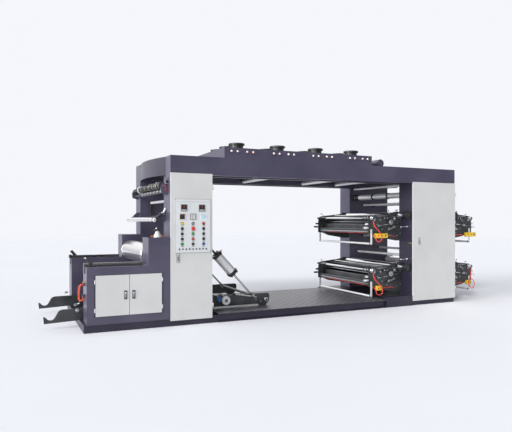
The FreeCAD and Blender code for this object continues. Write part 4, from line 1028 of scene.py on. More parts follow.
# bearing blocks, gears and bolts on both sides
aniloxX, aniloxZ = deck["aniloxAxis"]
fountainX, fountainZ = deck["fountainAxis"]
plateX, plateZ = deck["plateAxis"]
for label, faceY, outward in (("near", nearFace, -1), ("far", farFace, 1)):
    low, high = sorted((faceY, faceY + outward * 0.022))
    parts.append(boxPiece(
        label + "AniloxBlock", (aniloxX - 0.047, low, aniloxZ - 0.040),
        (aniloxX + 0.040, high, aniloxZ + 0.042), 0.004, "darkSteel",
    ))
    parts.append(turnedPiece(
        label + "AniloxCap", (aniloxX, faceY + outward * 0.022, aniloxZ), (0, outward, 0),
        [(0.030, 0.004), (0.024, 0.004), (0.012, 0.010)], 24, "steel",
    ))
    for cornerX in (-0.037, 0.030):
        for cornerZ in (-0.030, 0.032):
            parts.append(hexBolt(
                label + "BlockBolt", (aniloxX + cornerX, faceY + outward * 0.022, aniloxZ + cornerZ),
                (0, outward, 0), 0.006,
            ))
    parts.append(gearPiece(
        label + "FountainGear", (fountainX, faceY, fountainZ), (0, outward, 0), 0.0655, 0.006, 0.0255, 30,
        "blackIron",
    ))
    parts.append(turnedPiece(
        label + "FountainHub", (fountainX, faceY + outward * 0.0255, fountainZ), (0, outward, 0),
        [(0.045, 0.002), (0.026, 0.008), (0.015, 0.012)], 24, "steel",
    ))
    for index in range(6):
        angle = math.tau * index / 6
        spot = (
            fountainX + 0.036 * math.cos(angle), faceY + outward * 0.0265,
            fountainZ + 0.036 * math.sin(angle),
        )
        parts.append(hexBolt(label + "GearBolt", spot, (0, outward, 0), 0.005))
    for index, (boltX, boltZ) in enumerate(deck["plateBolts"]):
        parts.append(hexBolt(f"{label}PlateBolt{index}", (boltX, faceY, boltZ), (0, outward, 0), 0.008))
    parts.append(boxPiece(
        label + "TopGuide", (1.640, min(faceY, faceY + outward * 0.016), 0.620),
        (1.860, max(faceY, faceY + outward * 0.016), 0.632), 0.003, "steel",
    ))
# spindle, air cylinder, pressure screw and cover on the near side
y = nearFace - 0.016
parts += [
    rodPiece("spindle", (1.690, y, 0.462), (2.120, y, 0.512), 0.0075, 14, "chrome"),
    turnedPiece(
        "spindleKnob", (1.690, y, 0.462), (-0.993, 0, -0.116),
        [(0.014, 0.006), (0.019, 0.022), (0.014, 0.005)], 20, "steel",
    ),
    rodPiece(
        "airBarrel", (1.860, nearFace - 0.024, 0.388), (2.010, nearFace - 0.024, 0.436), 0.019, 20, "steel",
    ),
    rodPiece(
        "airRod", (2.010, nearFace - 0.024, 0.436), (2.078, nearFace - 0.024, 0.458), 0.006, 12, "chrome",
    ),
    turnedPiece(
        "pressureScrew", (2.060, nearFace - 0.020, 0.690), (-0.2, 0, 1),
        [(0.009, 0.030), (0.022, 0.004), (0.024, 0.008), (0.010, 0.004)], 20, "steel",
    ),
]
for label, low, high, depth, bevel, finish in deck["nearBoxes"]:
    low, high = (low[0], nearFace - depth, low[1]), (high[0], nearFace, high[1])
    parts.append(boxPiece(label, low, high, bevel, finish))
for x, z in deck["airFittings"]:
    steps = [(0.008, 0.008), (0.006, 0.008)]
    parts.append(turnedPiece("airFitting", (x, nearFace - 0.024, z), (-0.3, 0, 0.95), steps, 8, "brass"))
for x in (1.785, 1.838):
    steps = [(0.008, 0.006), (0.013, 0.008), (0.009, 0.003)]
    parts.append(turnedPiece("coverKnob", (x, nearFace - 0.030, 0.588), toFront, steps, 16, "steel"))
parts += clampLever(
    "nearLeverA", (1.905, nearFace - 0.010, 0.668), (1.872, nearFace - 0.030, 0.716), (0, -1, 0.1),
)
parts += clampLever(
    "nearLeverB", (1.720, nearFace - 0.006, 0.560), (1.690, nearFace - 0.028, 0.520), toFront, 0.009,
)
# dark pressure beam, thin rods and air pipe between the side plates
parts += [
    boxPiece(
        "pressureBeam", (1.716, nearInner + 0.001, 0.600), (1.756, farInner - 0.001, 0.626), 0.004,
        "darkSteel",
    ),
    rodPiece(
        "webRod", (1.840, nearInner + 0.001, 0.640), (1.840, farInner - 0.001, 0.640), 0.010, 16, "chrome",
    ),
    rodPiece(
        "doctorBar", (1.690, nearInner + 0.001, 0.520), (1.690, farInner - 0.001, 0.520), 0.009, 16,
        "steel",
    ),
    boxPiece(
        "beamRail", (1.506, nearInner + 0.002, 0.4025), (1.560, farInner - 0.002, 0.408), 0.002, "steel",
    ),
    boxPiece(
        "beamGroove", (1.4965, nearInner + 0.020, 0.352), (1.4995, farInner - 0.020, 0.372), 0.001, "steel",
    ),
    rodPiece(
        "airPipe", (1.4925, nearInner + 0.06, 0.338), (1.4925, farInner - 0.30, 0.338), 0.0042, 10,
        "redHose",
    ),
]
for index in range(5):
    y = nearInner + 0.10 + index * 0.27
    parts.append(boxPiece(
        f"pipeClip{index}", (1.4875, y - 0.008, 0.331), (1.500, y + 0.008, 0.345), 0.002, "blackIron",
    ))
# conduit from the push-button box
parts += [
    rodPiece(
        "conduitA", (1.728, nearFace - 0.020, 0.286), (1.892, nearFace - 0.014, 0.290), 0.0075, 12,
        "redHose",
    ),
    turnedPiece(
        "conduitGland", (1.892, nearFace - 0.014, 0.290), (1, 0, 0.1),
        [(0.012, 0.010), (0.009, 0.016), (0.012, 0.008)], 8, "steel",
    ),
    rodPiece(
        "conduitB", (1.924, nearFace - 0.012, 0.293), (2.020, nearFace - 0.009, 0.274), 0.0075, 12,
        "redHose",
    ),
]
# hanger bars with their bolts, and the lead roller's end caps
parts += [
    boxPiece(
        "nearHanger", (1.5165, nearFace - 0.0085, 0.1395), (1.5495, nearFace - 0.0005, 0.4025), 0.0025,
        "whitePlastic",
    ),
    boxPiece(
        "farHanger", (1.5165, farFace + 0.0005, 0.1395), (1.5495, farFace + 0.0085, 0.4025), 0.0025,
        "blackIron",
    ),
]
hangerX, leadZ = deck["hanger"], deck["leadAxis"]
for z in (0.385, 0.350, leadZ):
    parts.append(hexBolt("nearHangerBolt", (hangerX, nearFace - 0.0085, z), toFront, 0.006))
for y, direction in ((nearFace + 0.0005, toBack), (farFace - 0.0005, toFront)):
    steps = [(0.0145, 0.004), (0.0195, 0.020), (0.0145, 0.004)]
    parts.append(turnedPiece("leadCap", (hangerX, y, leadZ), direction, steps, 20, "blackPlastic"))
# tray rims
for x in (1.575, 1.980):
    low, high = (x, nearInner + 0.001, 0.483), (x + 0.011, farInner - 0.001, 0.4885)
    parts.append(boxPiece("trayRim", low, high, 0.002, "steel"))
mirrorPlane, rise = deck["mirrorPlane"], deck["rise"]


def atFourDecks(piece, name):
    # the lower left one and its copies at the upper left, lower right and upper right
    above = copyPiece(piece, name + "Above", (0, 0, rise))
    across = mirroredPiece(piece, name + "Across", 0, mirrorPlane)
    return [piece, above, across, copyPiece(across, name + "AcrossAbove", (0, 0, rise))]


deckDresses = atFourDecks(joinPieces("deckDress", parts), "deckDress")
for piece, place in zip(deckDresses, ("leftLower", "leftUpper", "rightLower", "rightUpper")):
    piece.name = piece.data.name = place + "DeckDress"
    keep(piece, "frame")
print("deck fittings ready")

# Grips, inking rollers and plate cylinders


def gripSet(name, y, shaftFinish, blockFinish):
    (lowZ, highZ), faceX = deck["gripAxes"], deck["gripFace"]
    longSteps = [
        (0.0115, 0.006), (0.0095, 0.026), (0.0120, 0.004), (0.0115, 0.052), (0.0125, 0.008), (0.009, 0.004),
    ]
    shortSteps = [(0.0115, 0.006), (0.0085, 0.018), (0.0120, 0.030), (0.010, 0.006)]
    return [
        turnedPiece(name + "Long", (faceX, y, lowZ), toLeft, longSteps, 20, shaftFinish),
        turnedPiece(name + "Short", (faceX, y, highZ), toLeft, shortSteps, 20, shaftFinish),
        turnedPiece(
            name + "Collar", (faceX, y, lowZ), toLeft, [(0.017, 0.010), (0.015, 0.002)], 20, "steel",
        ),
        boxPiece(
            name + "BlockLong", (1.396, y - 0.017, 0.409), (1.452, y + 0.017, 0.441), 0.004, blockFinish,
        ),
        boxPiece(
            name + "BlockShort", (1.424, y - 0.016, 0.472), (1.470, y + 0.016, 0.502), 0.004, blockFinish,
        ),
    ]


nearGrips = gripSet("nearGrip", -deck["gripMiddle"], "chrome", "whitePlastic")
farGrips = gripSet("farGrip", deck["gripMiddle"], "blackIron", "blackIron")
gripCopies = atFourDecks(joinPieces("grips", nearGrips + farGrips), "grips")
keep(joinPieces("deckGrips", gripCopies), "frame", ["deck_grips"])

rollers = joinPieces("inkingRollers", [
    turnedPiece("aniloxRoller", (aniloxX, -0.770, aniloxZ), toBack, [
        (0.016, 0.020), (0.047, 0.003), (0.0535, 0.010), (0.055, 1.474), (0.0535, 0.010), (0.047, 0.003),
        (0.016, 0.020),
    ], 40, "greyCeramic"),
    turnedPiece("fountainRoller", (fountainX, -0.770, fountainZ), toBack, [
        (0.016, 0.020), (0.042, 0.003), (0.050, 1.494), (0.042, 0.003), (0.016, 0.020),
    ], 40, "rubber"),
])
keep(
    joinPieces("inkingRollers", atFourDecks(rollers, "rollers")), "frame",
    ["deck_inking_rollers"],
)

cylinder = joinPieces("plateCylinder", [
    turnedPiece("couplingDrum", (plateX, -1.043, plateZ), toBack, deck["couplingSteps"], 32, "blackIron"),
    turnedPiece(
        "couplingShaft", (plateX, -0.943, plateZ), toBack, [(0.020, 0.212), (0.026, 0.022)], 24, "chrome",
    ),
    turnedPiece("ribbedWheel", (plateX, -0.862, plateZ), toBack, [
        (0.036, 0.004), (0.060, 0.004), (0.054, 0.004), (0.060, 0.005), (0.054, 0.004), (0.060, 0.005),
        (0.054, 0.004),
        (0.060, 0.005), (0.036, 0.005),
    ], 40, "steel"),
    turnedPiece("plateSleeve", (plateX, -0.709, plateZ), toBack, [
        (0.026, 0.001), (0.044, 0.004), (0.0495, 0.010), (0.050, 1.388), (0.0495, 0.010), (0.044, 0.004),
        (0.026, 0.001),
    ], 44, "chrome"),
    turnedPiece(
        "farJournal", (plateX, 0.709, plateZ), toBack, [(0.026, 0.020), (0.020, 0.071)], 24, "steel",
    ),
])
across = 2 * mirrorPlane - 2 * plateX
cylinderPlaces = {
    "left_upper": copyPiece(cylinder, "leftUpperPlateCylinder", (0, 0, rise)),
    "right_lower": copyPiece(cylinder, "rightLowerPlateCylinder", (across, 0, 0)),
    "right_upper": copyPiece(cylinder, "rightUpperPlateCylinder", (across, 0, rise)),
    "left_lower": cylinder,
}
for place, piece in cylinderPlaces.items():
    piece.name = piece.data.name = place.replace("_", "") + "PlateCylinder"
    keep(piece, place + "_cylinder", [place + "_deck_plate_cylinder"])
print("deck rollers ready")

# Winder: drum, lay-on roller, nip, dancer, regulator and small fittings


def platePiece(name, outline, low, high, finish, bevel=0.002):
    # a flat plate of any outline in x and z, between two places in y
    clearSelection()
    bpy.ops.mesh.primitive_circle_add(vertices=len(outline), radius=1, fill_type="NGON")
    piece = bpy.context.object
    piece.name = piece.data.name = name
    for vertex, (x, z) in zip(piece.data.vertices, outline):
        vertex.co = (x, low, z)
    bpy.ops.object.mode_set(mode="EDIT")
    bpy.ops.mesh.select_all(action="SELECT")
    bpy.ops.mesh.extrude_region_move(TRANSFORM_OT_translate={"value": (0, high - low, 0)})
    bpy.ops.mesh.select_all(action="SELECT")
    bpy.ops.mesh.normals_make_consistent(inside=False)
    bpy.ops.object.mode_set(mode="OBJECT")
    bevelEdges(piece, bevel)
    return dress(piece, finish)


drum = {"x": -2.165, "z": 0.950, "radius": 0.155, "half": 0.704, "bolts": 8, "boltCircle": 0.078}
x, z, radius, half, circle = drum["x"], drum["z"], drum["radius"], drum["half"], drum["boltCircle"]
parts = [turnedPiece("drumShell", (x, -half, z), toBack, [
    (0.100, 0.002), (radius - 0.006, 0.006), (radius, 0.024), (radius - 0.002, 0.004),
    (radius, 2 * half - 0.072),
    (radius - 0.002, 0.004), (radius, 0.024), (radius - 0.006, 0.006), (0.100, 0.002),
], 72, "polished")]
for y, outward in ((-half, -1), (half, 1)):
    parts.append(turnedPiece(
        "drumJournal", (x, y, z), (0, outward, 0), [(0.058, 0.012), (0.030, 0.050)], 28, "steel",
    ))
    for index in range(drum["bolts"]):
        angle = math.tau * index / drum["bolts"]
        spot = (x + circle * math.cos(angle), y, z + circle * math.sin(angle))
        parts.append(hexBolt("drumBolt", spot, (0, outward, 0)))
keep(joinPieces("windingDrum", parts), "winding_drum", ["winding_drum"])

layOn = {
    "x": -2.170, "z": 1.440, "radius": 0.034, "pivot": (-2.030, 1.530), "plate": 0.016, "armHalf": 0.018,
}
x, z, half = layOn["x"], layOn["z"], layOn["armHalf"]
pivotX, pivotZ = layOn["pivot"]
parts = [turnedPiece("layOnShell", (x, -0.828, z), toBack, [
    (0.024, 0.002), (0.031, 0.003), (layOn["radius"], 1.646), (0.031, 0.003), (0.024, 0.002),
], 40, "polished")]
for y, outward in ((-0.829, -1), (0.829, 1)):
    low, high = sorted((y, y + outward * layOn["plate"]))
    parts.append(platePiece(
        "layOnArm", [(x - half, z), (x, z - half), (pivotX + half, pivotZ), (pivotX, pivotZ + half)], low,
        high, "blackIron",
    ))
    parts.append(turnedPiece(
        "layOnBoss", (x, y, z), (0, outward, 0),
        [(0.034, 0.007), (0.025, 0.004), (0.032, 0.009), (0.024, 0.002)], 28, "blackIron",
    ))
    parts.append(turnedPiece(
        "layOnDisc", (x, y + outward * 0.016, z), (0, outward, 0), [(0.033, 0.003), (0.029, 0.004)], 28,
        "whitePlastic",
    ))
    parts.append(ballPiece("layOnHub", (x, y + outward * 0.024, z), 0.013, "polished", 8))
    parts.append(turnedPiece(
        "layOnPivot", (pivotX, y, pivotZ), (0, outward, 0),
        [(0.027, 0.004), (0.024, 0.010), (0.014, 0.004)], 24, "steel",
    ))
parts.append(turnedPiece("layOnHandle", (pivotX - 0.010, -0.850, pivotZ + 0.004), (0.42, 0, 0.91), [
    (0.007, 0.010), (0.012, 0.010), (0.0145, 0.046), (0.011, 0.010),
], 18, "whitePlastic"))
keep(joinPieces("layOnRoller", parts), "lay_on_roller", ["lay_on_roller"])

nip = {
    "x": -2.075,
    "z": 1.910,
    "end": 0.912,
    "bodyEnd": 0.400,
    "ribs": [(0.0475, 0.019), (0.0435, 0.011)],
    "discs": [
        (-0.880, 0.052, "steel"), (-0.800, 0.055, "blackIron"), (-0.735, 0.054, "steel"),
        (-0.640, 0.050, "brass"), (-0.520, 0.051, "steel"), (-0.300, 0.050, "steel"),
        (-0.060, 0.050, "brass"), (0.200, 0.050, "steel"), (0.372, 0.058, "whitePlastic"),
    ],
    "studs": 12,
    "studPitch": 0.098,
    "studReach": 0.045,
    "steelRoller": (-2.059, 1.830),
    "rings": 7,
}
x, z, nearEnd = nip["x"], nip["z"], -nip["end"]
steps = [(0.020, 0.010), (0.034, 0.006)]
length = 0.016
while length < nip["bodyEnd"] - nearEnd - 0.040:
    steps += nip["ribs"]
    length += 0.030
steps += [(0.030, 0.010), (0.013, nip["end"] - nearEnd - length - 0.010)]
parts = [turnedPiece("nipRubber", (x, nearEnd, z), toBack, steps, 28, "rubber")]
for y, size, colour in nip["discs"]:
    steps = [(size - 0.006, 0.003), (size, 0.008), (size - 0.006, 0.003)]
    parts.append(turnedPiece("nipDisc", (x, y, z), toBack, steps, 32, colour))
for index in range(nip["studs"]):
    y = -0.860 + nip["studPitch"] * index
    angle = 2.1 + 0.9 * math.sin(1.7 * index)
    outwards = Vector((math.cos(angle), 0, math.sin(angle)))
    spot = Vector((x, y, z)) + nip["studReach"] * outwards
    colour = ("steel", "brass", "chrome")[index % 3]
    parts.append(turnedPiece("nipStud", spot, outwards, [(0.010, 0.004), (0.006, 0.009)], 6, colour))
parts.append(ballPiece("nipFarKnob", (x, 0.905, z), 0.014, "blackPlastic", 8, (1, 0.7, 1)))
keep(joinPieces("nipRubberRoller", parts), "frame", ["nip_rubber_roller"])
x, z = nip["steelRoller"]
steps = [(0.018, 0.010), (0.026, 0.004), (0.030, 1.260), (0.026, 0.004), (0.011, 0.546)]
parts = [turnedPiece("nipSteel", (x, nearEnd, z), toBack, steps, 32, "blackIron")]
for index in range(nip["rings"]):
    y = -0.870 + 0.180 * index
    parts.append(turnedPiece(
        "nipRing", (x, y, z), toBack, [(0.031, 0.002), (0.033, 0.010), (0.031, 0.002)], 28, "steel",
    ))
keep(joinPieces("nipSteelRoller", parts), "frame", ["nip_steel_roller"])

parts = [
    # near clamp of the nip, its black knob and the red flag below it
    boxPiece("nipClamp", (-2.050, -0.962, 1.930), (-1.975, -0.946, 1.985), 0.005, "steel"),
    turnedPiece(
        "nipClampScrew", (-2.008, -0.954, 1.985), (0.25, 0, 1),
        [(0.007, 0.016), (0.018, 0.006), (0.020, 0.012), (0.012, 0.004)], 18, "blackPlastic",
    ),
    turnedPiece(
        "nipClampHub", (-2.020, -0.962, 1.958), toFront, [(0.020, 0.006), (0.013, 0.010)], 20, "blackIron",
    ),
    ballPiece("nipKnobLow", (-1.965, -0.968, 1.925), 0.017, "blackPlastic", 8, (1, 0.8, 1)),
    rodPiece("nipFlag", (-2.044, -0.950, 1.925), (-2.026, -0.950, 1.835), 0.0055, 10, "redPlastic", 0),
    hexBolt("nipBolt", (-2.060, -0.945, 1.905), toFront, 0.010),
    # a spare bar in its bracket between the columns
    boxPiece("barBracket", (-1.875, -0.735, 1.560), (-1.815, -0.675, 1.625), 0.005, "blackIron"),
    turnedPiece(
        "barEnd", (-1.845, -0.675, 1.592), toBack,
        [(0.022, 0.010), (0.014, 0.170), (0.018, 0.006), (0.010, 0.003)], 20, "steel",
    ),
    # nuts where the coiled hose meets the winder frame
    turnedPiece(
        "coilNutTop", (-3.104, -0.875, 0.600), toLeft, [(0.017, 0.010), (0.013, 0.014), (0.010, 0.006)], 6,
        "redPlastic",
    ),
    turnedPiece(
        "coilNutLow", (-3.106, -0.875, 0.4455), (0, 0, -1), [(0.017, 0.012), (0.013, 0.008)], 6,
        "redPlastic",
    ),
    turnedPiece("coilElbow", (-3.088, -0.875, 0.630), toLeft, [(0.011, 0.010), (0.008, 0.012)], 6, "brass"),
]
keep(joinPieces("winderFittings", parts), "frame")

dancer = {"x": -1.830, "z": 1.720, "foot": 1.495}
x, z, foot = dancer["x"], dancer["z"], dancer["foot"]
parts = [
    turnedPiece(
        "dancerRoller", (x, -0.674, z), toBack,
        [(0.014, 0.004), (0.020, 0.003), (0.022, 1.334), (0.020, 0.003), (0.014, 0.004)], 32, "satin",
    ),
    turnedPiece("dancerShaft", (x, -0.733, foot), toBack, [(0.016, 1.466)], 24, "steel"),
]
for low, high in ((-0.690, -0.674), (0.674, 0.690)):
    parts.append(platePiece("dancerArm", [
        (x - 0.020, foot - 0.012), (x - 0.010, foot - 0.020), (x + 0.010, foot - 0.020),
        (x + 0.020, foot - 0.012),
        (x + 0.017, z + 0.012), (x + 0.008, z + 0.020), (x - 0.008, z + 0.020), (x - 0.017, z + 0.012),
    ], low, high, "blackIron", 0.002))
    parts.append(hexBolt(
        "dancerBolt", (x, low if low < 0 else high, z), (0, -1 if low < 0 else 1, 0), 0.010,
    ))
parts.append(boxPiece(
    "dancerBlock", (x - 0.026, 0.692, z - 0.026), (x + 0.026, 0.733, z + 0.022), 0.004, "blackIron",
))
keep(joinPieces("dancerRoller", parts), "frame", ["dancer"])

regulator = {"x": -2.110, "y": -0.807, "z": 1.200}
x, y, z = regulator["x"], regulator["y"], regulator["z"]
parts = [
    turnedPiece("regulatorBody", (x, y, z), upward, [
        (0.061, 0.010), (0.056, 0.012), (0.050, 0.014), (0.041, 0.014),
        (0.033, 0.014), (0.027, 0.014), (0.020, 0.004), (0.012, 0.014),
    ], 28, "whitePlastic"),
    ringPiece("regulatorRim", (x, y, z + 0.098), upward, 0.047, 0.0078, "blackIron", 32, 10),
    turnedPiece(
        "regulatorHub", (x, y, z + 0.088), upward, [(0.016, 0.014), (0.010, 0.006)], 20, "blackIron",
    ),
    ballPiece("regulatorKnob", (x - 0.020, y - 0.020, z + 0.120), 0.013, "chrome", 8),
]
for index in range(3):
    angle = 0.5 + math.tau * index / 3
    tip = (x + 0.046 * math.cos(angle), y + 0.046 * math.sin(angle), z + 0.098)
    parts.append(rodPiece("regulatorSpoke", (x, y, z + 0.096), tip, 0.005, 10, "steel", 0))
for side in (-1, 1):
    parts.append(turnedPiece(
        "regulatorPort", (x + side * 0.050, y - 0.010, z + 0.011), (side, 0, 0.1),
        [(0.0105, 0.016), (0.0085, 0.020), (0.0065, 0.010)], 10, "orangePlastic",
    ))
keep(joinPieces("tensionRegulator", parts), "frame", ["tension_regulator"])

parts = [
    platePiece(
        "nearLever", [(-3.010, 0.833), (-2.950, 0.833), (-3.064, 0.949), (-3.084, 0.937)], -0.927, -0.913,
        "darkSteel", 0.002,
    ),
    turnedPiece(
        "nearLeverTip", (-3.074, -0.920, 0.940), (-0.72, 0, 0.30),
        [(0.009, 0.010), (0.0075, 0.014), (0.009, 0.004)], 14, "chrome",
    ),
    platePiece(
        "farLever", [(-3.010, 0.833), (-2.950, 0.833), (-3.056, 0.955), (-3.094, 0.935)], 0.913, 0.940,
        "blackIron", 0.003,
    ),
    hexBolt("nearLeverBolt", (-2.985, -0.927, 0.850), toFront, 0.008),
    hexBolt("farLeverBolt", (-2.985, 0.913, 0.850), toFront, 0.008),
    boxPiece("railStop", (-3.1135, 0.833, 0.835), (-3.075, 0.887, 0.884), 0.003, "blackIron"),
]
keep(joinPieces("reelLevers", parts), "frame", ["reel_levers"])

parts = []
for y, outward in ((-0.665, -1), (0.665, 1)):
    parts.append(turnedPiece(
        "reelArmBoss", (-3.154, y + outward * 0.006, 0.240), (0, outward, 0),
        [(0.024, 0.004), (0.018, 0.010), (0.012, 0.004)], 20, "steel",
    ))
    parts.append(boxPiece(
        "reelArmBlock", (-3.196, y - 0.012, 0.300), (-3.150, y + 0.012, 0.326), 0.003, "steel",
    ))
parts.append(rodPiece(
    "reelArmStay", (-3.160, -0.667, 0.318), (-3.128, -0.667, 0.334), 0.0085, 14, "whitePlastic",
))
parts.append(hexBolt("reelArmPin", (-3.180, -0.665, 0.326), upward, 0.007))
keep(joinPieces("reelArmDress", parts), "lift_arms")
print("winder fittings ready")

# Air cylinders, lever beams, side drive and crank

airCylinder = {
    "eye": (-0.587, 0.284), "lean": 42.8, "y": 0.621, "rod": 0.460, "barrel": 0.420, "cap": 0.138,
    "thick": 0.050, "tail": 0.376,
}
start, barrel = airCylinder["rod"], airCylinder["barrel"]
cap, thick = airCylinder["cap"] / 2, airCylinder["thick"]
top = start + barrel + airCylinder["tail"]
eye = turnedPiece(
    "rodEye", (0, -0.017, 0), toBack, [(0.031, 0.003), (0.034, 0.028), (0.031, 0.003)], 28, "steel",
)
parts = [
    eye,
    turnedPiece("rodNut", (0, 0, 0.030), upward, [(0.022, 0.030), (0.019, 0.014)], 6, "steel"),
    turnedPiece("pistonRod", (0, 0, 0.072), upward, [(0.0155, start - 0.076)], 24, "chrome"),
    turnedPiece(
        "rodSeal", (0, 0, start - 0.018), upward, [(0.034, 0.006), (0.042, 0.012)], 24, "blackIron",
    ),
    boxPiece("frontCap", (-cap, -cap, start), (cap, cap, start + thick), 0.006, "blackIron"),
    boxPiece(
        "rearCap", (-cap, -cap, start + barrel - thick), (cap, cap, start + barrel), 0.006, "blackIron",
    ),
    turnedPiece(
        "barrel", (0, 0, start + thick), upward,
        [
            (0.060, 0.006), (0.0585, 0.004), (0.0595, barrel - 2 * thick - 0.020), (0.0585, 0.004),
            (0.060, 0.006),
        ],
        44, "anodised",
    ),
    turnedPiece(
        "tailRod", (0, 0, start + barrel), upward, [(0.036, 0.014), (0.016, airCylinder["tail"] - 0.040)],
        24, "blackIron",
    ),
    turnedPiece(
        "tailEye", (0, -0.017, top), toBack, [(0.031, 0.003), (0.034, 0.028), (0.031, 0.003)], 28,
        "blackIron",
    ),
    turnedPiece("tailPin", (0, -0.114, top), toBack, [(0.014, 0.110)], 20, "steel"),
]
for z, colour in ((start + barrel - thick / 2, "redPlastic"), (start + thick / 2, "steel")):
    steps = [(0.011, 0.010), (0.008, 0.014), (0.006, 0.016)]
    parts.append(turnedPiece("airPort", (cap, -0.030, z), (1, 0, 0.35), steps, 10, colour))
    parts.append(turnedPiece(
        "airValve", (cap, 0.030, z), toRight, [(0.013, 0.012), (0.009, 0.010)], 10, "blackIron",
    ))
for a in (-1, 1):
    for b in (-1, 1):
        parts.append(turnedPiece("tieRod", (0.055 * a, 0.055 * b, start - 0.010), upward, [
            (0.011, 0.009), (0.0065, barrel + 0.002), (0.011, 0.009),
        ], 10, "steel"))
cylinderPiece = joinPieces("airCylinder", parts)
eyeX, eyeZ = airCylinder["eye"]
lean = Matrix.Rotation(-math.radians(airCylinder["lean"]), 4, "Y")
nearPlace = Matrix.Translation((eyeX, -airCylinder["y"], eyeZ)) @ lean
nearCylinder = copyPiece(cylinderPiece, "nearAirCylinder", matrix=nearPlace)
farCylinder = mirroredPiece(nearCylinder, "farAirCylinder", 1, 0)
bpy.data.objects.remove(cylinderPiece)
keep(
    joinPieces("airCylinders", [nearCylinder, farCylinder]), "frame",
    ["air_cylinders"],
)

beam = {
    "ring": (-0.369, 0.211), "shaft": (-0.587, 0.284), "collar": (-1.130, 0.300), "stay": 0.688,
    "face": 0.665,
}
ringX, ringZ = beam["ring"]
shaftX, shaftZ = beam["shaft"]
collarX, collarZ = beam["collar"]
parts = []
for sign in (-1, 1):
    outward, stayY = (0, sign, 0), sign * beam["stay"]
    forkLow, forkHigh = sorted((sign * 0.666, sign * 0.702))
    endLow, endHigh = sorted((sign * 0.666, sign * 0.700))
    parts += [
        turnedPiece(
            "beamRing", (ringX, sign * 0.676, ringZ), outward,
            [(0.033, 0.002), (0.029, 0.007), (0.020, 0.003)], 28, "steel",
        ),
        turnedPiece(
            "beamRingCore", (ringX, sign * 0.688, ringZ), outward, [(0.014, 0.003), (0.008, 0.004)], 6,
            "blackIron",
        ),
        turnedPiece(
            "shaftNut", (shaftX, sign * 0.6655, shaftZ), outward, [(0.026, 0.004), (0.018, 0.012)], 6,
            "steel",
        ),
        rodPiece("stayRod", (-0.900, stayY, 0.322), (-0.640, stayY, 0.276), 0.0125, 18, "polished"),
        rodPiece("stayThin", (-0.645, stayY, 0.277), (-0.560, stayY, 0.262), 0.007, 12, "steel"),
        boxPiece("stayFork", (-0.935, forkLow, 0.306), (-0.893, forkHigh, 0.340), 0.004, "blackIron"),
        boxPiece("stayEnd", (-0.580, endLow, 0.248), (-0.545, endHigh, 0.276), 0.004, "steel"),
        turnedPiece(
            "stayKnob", (-0.800, stayY, 0.316), (0.15, 0, 1), [(0.005, 0.010), (0.012, 0.012)], 12,
            "blackPlastic",
        ),
        ringPiece("beamCollar", (collarX, sign * 0.672, collarZ), toBack, 0.044, 0.007, "steel", 28, 8),
        turnedPiece(
            "beamCollarHub", (collarX, sign * 0.666, collarZ), outward, [(0.030, 0.006), (0.018, 0.010)],
            20, "darkSteel",
        ),
        rodPiece(
            "beamStay", (-1.180, sign * 0.674, 0.300), (-1.330, sign * 0.674, 0.350), 0.010, 14,
            "darkSteel",
        ),
    ]
    for index, boltX in enumerate((-0.460, -0.540, -0.980, -1.300)):
        parts.append(hexBolt(
            f"beamBolt{index}", (boltX, sign * beam["face"], 0.190 + 0.03 * (index % 2)), outward, 0.008,
        ))
keep(joinPieces("leverBeamDress", parts), "frame")

sideDrive = {"x": -1.048, "z": 0.238, "motor": (-1.156, 0.258)}
x, z = sideDrive["x"], sideDrive["z"]
motorX, motorZ = sideDrive["motor"]
parts = [
    turnedPiece(
        "driveWheel", (x, -0.687, z), toFront,
        [(0.058, 0.002), (0.066, 0.004), (0.066, 0.016), (0.060, 0.004), (0.030, 0.001), (0.030, 0.001)],
        44, "whitePlastic",
    ),
    turnedPiece("driveHub", (x, -0.7148, z), toFront, [(0.026, 0.002), (0.022, 0.003)], 24, "greyCeramic"),
    turnedPiece("driveShaft", (x, -0.665, z), toFront, [(0.018, 0.022)], 20, "steel"),
    boxPiece("drivePlate", (-1.198, -0.671, 0.214), (-1.028, -0.665, 0.294), 0.003, "darkSteel"),
    turnedPiece(
        "driveMotor", (motorX, -0.671, motorZ), toFront,
        [(0.030, 0.004), (0.032, 0.030), (0.029, 0.004), (0.032, 0.024), (0.026, 0.006), (0.010, 0.002)],
        28, "blueMotor",
    ),
    boxPiece(
        "motorBox", (motorX - 0.016, -0.725, motorZ + 0.028), (motorX + 0.020, -0.690, motorZ + 0.048),
        0.004, "blueMotor",
    ),
]
for index in (-1, 0, 1):
    parts.append(boxPiece(
        "hubMark", (x - 0.014, -0.7206, z + 0.009 * index - 0.0025),
        (x + 0.014, -0.7193, z + 0.009 * index + 0.0025), 0.0005, "blackPlastic",
    ))
for a in (-1, 1):
    parts.append(hexBolt("plateBolt", (motorX + 0.050 + 0.030 * a, -0.671, 0.280), toFront, 0.006))
keep(joinPieces("sideDrive", parts), "frame", ["side_lay_drive"])

crank = {"y": -0.905, "z": 1.400, "wall": -1.407, "x": -1.355}
y, z = crank["y"], crank["z"]
parts = [
    turnedPiece("crankHub", (crank["wall"], y, z), toRight, [(0.016, 0.006), (0.010, 0.036)], 20, "steel"),
    ballPiece("crankTopBall", (crank["x"], y, z), 0.017, "blackPlastic", 9),
    rodPiece(
        "crankRod", (crank["x"], y, z - 0.012), (crank["x"] + 0.002, y, z - 0.096), 0.0055, 12, "chrome",
    ),
    ballPiece("crankLowBall", (crank["x"] + 0.002, y, z - 0.103), 0.0145, "blackPlastic", 9),
]
keep(joinPieces("sideCrank", parts), "frame", ["side_crank"])
print("levers and air cylinders ready")

# Guide rollers of the print unit, and small fittings on the columns

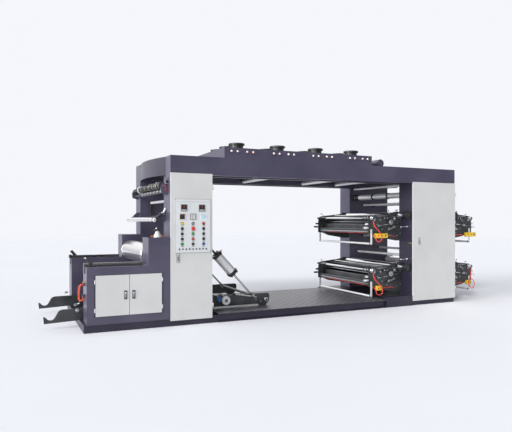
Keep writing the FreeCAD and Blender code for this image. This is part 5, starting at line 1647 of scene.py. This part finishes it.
webPath = {
    "guides": [
        (2.268, 2.045), (2.508, 1.735), (2.508, 1.130), (2.370, 0.815), (2.900, 0.885), (2.790, 1.735),
    ],
    "sleeve": (2.303, 1.875),
    "sleeveRings": (-0.320, 0.110),
}
parts = []
for x, z in webPath["guides"]:
    parts.append(turnedPiece("guideRoller", (x, -0.735, z), toBack, [
        (0.012, 0.020), (0.018, 0.002), (0.022, 1.426), (0.018, 0.002), (0.012, 0.020),
    ], 32, "satin"))
    parts.append(turnedPiece(
        "guideBearing", (x, 0.7345, z), toFront, [(0.026, 0.006), (0.020, 0.010)], 20, "blackIron",
    ))
x, z = webPath["sleeve"]
parts.append(turnedPiece("sleeveRoller", (x, -0.735, z), toBack, [
    (0.020, 0.020), (0.044, 0.004), (0.050, 1.422), (0.044, 0.004), (0.020, 0.020),
], 44, "satin"))
for y in webPath["sleeveRings"]:
    parts.append(turnedPiece(
        "sleeveRing", (x, y, z), toBack, [(0.052, 0.004), (0.056, 0.040), (0.052, 0.004)], 36, "blackIron",
    ))
parts += [
    turnedPiece(
        "sleeveFarCap", (x, 0.560, z), toBack, [(0.052, 0.006), (0.055, 0.110), (0.048, 0.006)], 32,
        "blackIron",
    ),
    boxPiece(
        "sleeveFarBlock", (x - 0.060, 0.690, z - 0.050), (x + 0.045, 0.734, z + 0.055), 0.005, "blackIron",
    ),
    turnedPiece(
        "sleeveClamp", (x - 0.052, -0.700, z + 0.010), (-1, 0, 0.2), [(0.012, 0.014), (0.018, 0.008)], 16,
        "steel",
    ),
    boxPiece(
        "sleeveFlag", (x - 0.070, -0.722, z - 0.085), (x - 0.054, -0.717, z - 0.010), 0.001, "redPlastic",
    ),
]
keep(joinPieces("webGuideRollers", parts), "frame", ["web_guide_rollers"])

parts = [
    # brass latch and chrome handle on the gear cabinet's inner side
    turnedPiece(
        "sideLatchRose", (2.178, -1.035, 1.045), toLeft, [(0.016, 0.006), (0.009, 0.014)], 16, "brass",
    ),
    rodPiece("sideLatchLever", (2.160, -1.035, 1.045), (2.104, -1.030, 1.052), 0.0055, 12, "brass"),
    ballPiece("sideLatchBall", (2.100, -1.030, 1.052), 0.009, "blackPlastic", 8),
]
for z in (1.322, 0.770):
    parts.append(turnedPiece(
        "columnPeg", (2.178, -0.930, z), toLeft, [(0.018, 0.008), (0.011, 0.120), (0.013, 0.010)], 18,
        "polished",
    ))
for boltX in (-1.880, -1.560, 2.300, 2.620, 2.940):
    for boltY in (-0.980, -0.830):
        parts.append(hexBolt("cabinetTopBolt", (boltX, boltY, 0.1285), upward, 0.004))
keep(joinPieces("columnFittings", parts), "frame")
print("rollers ready")
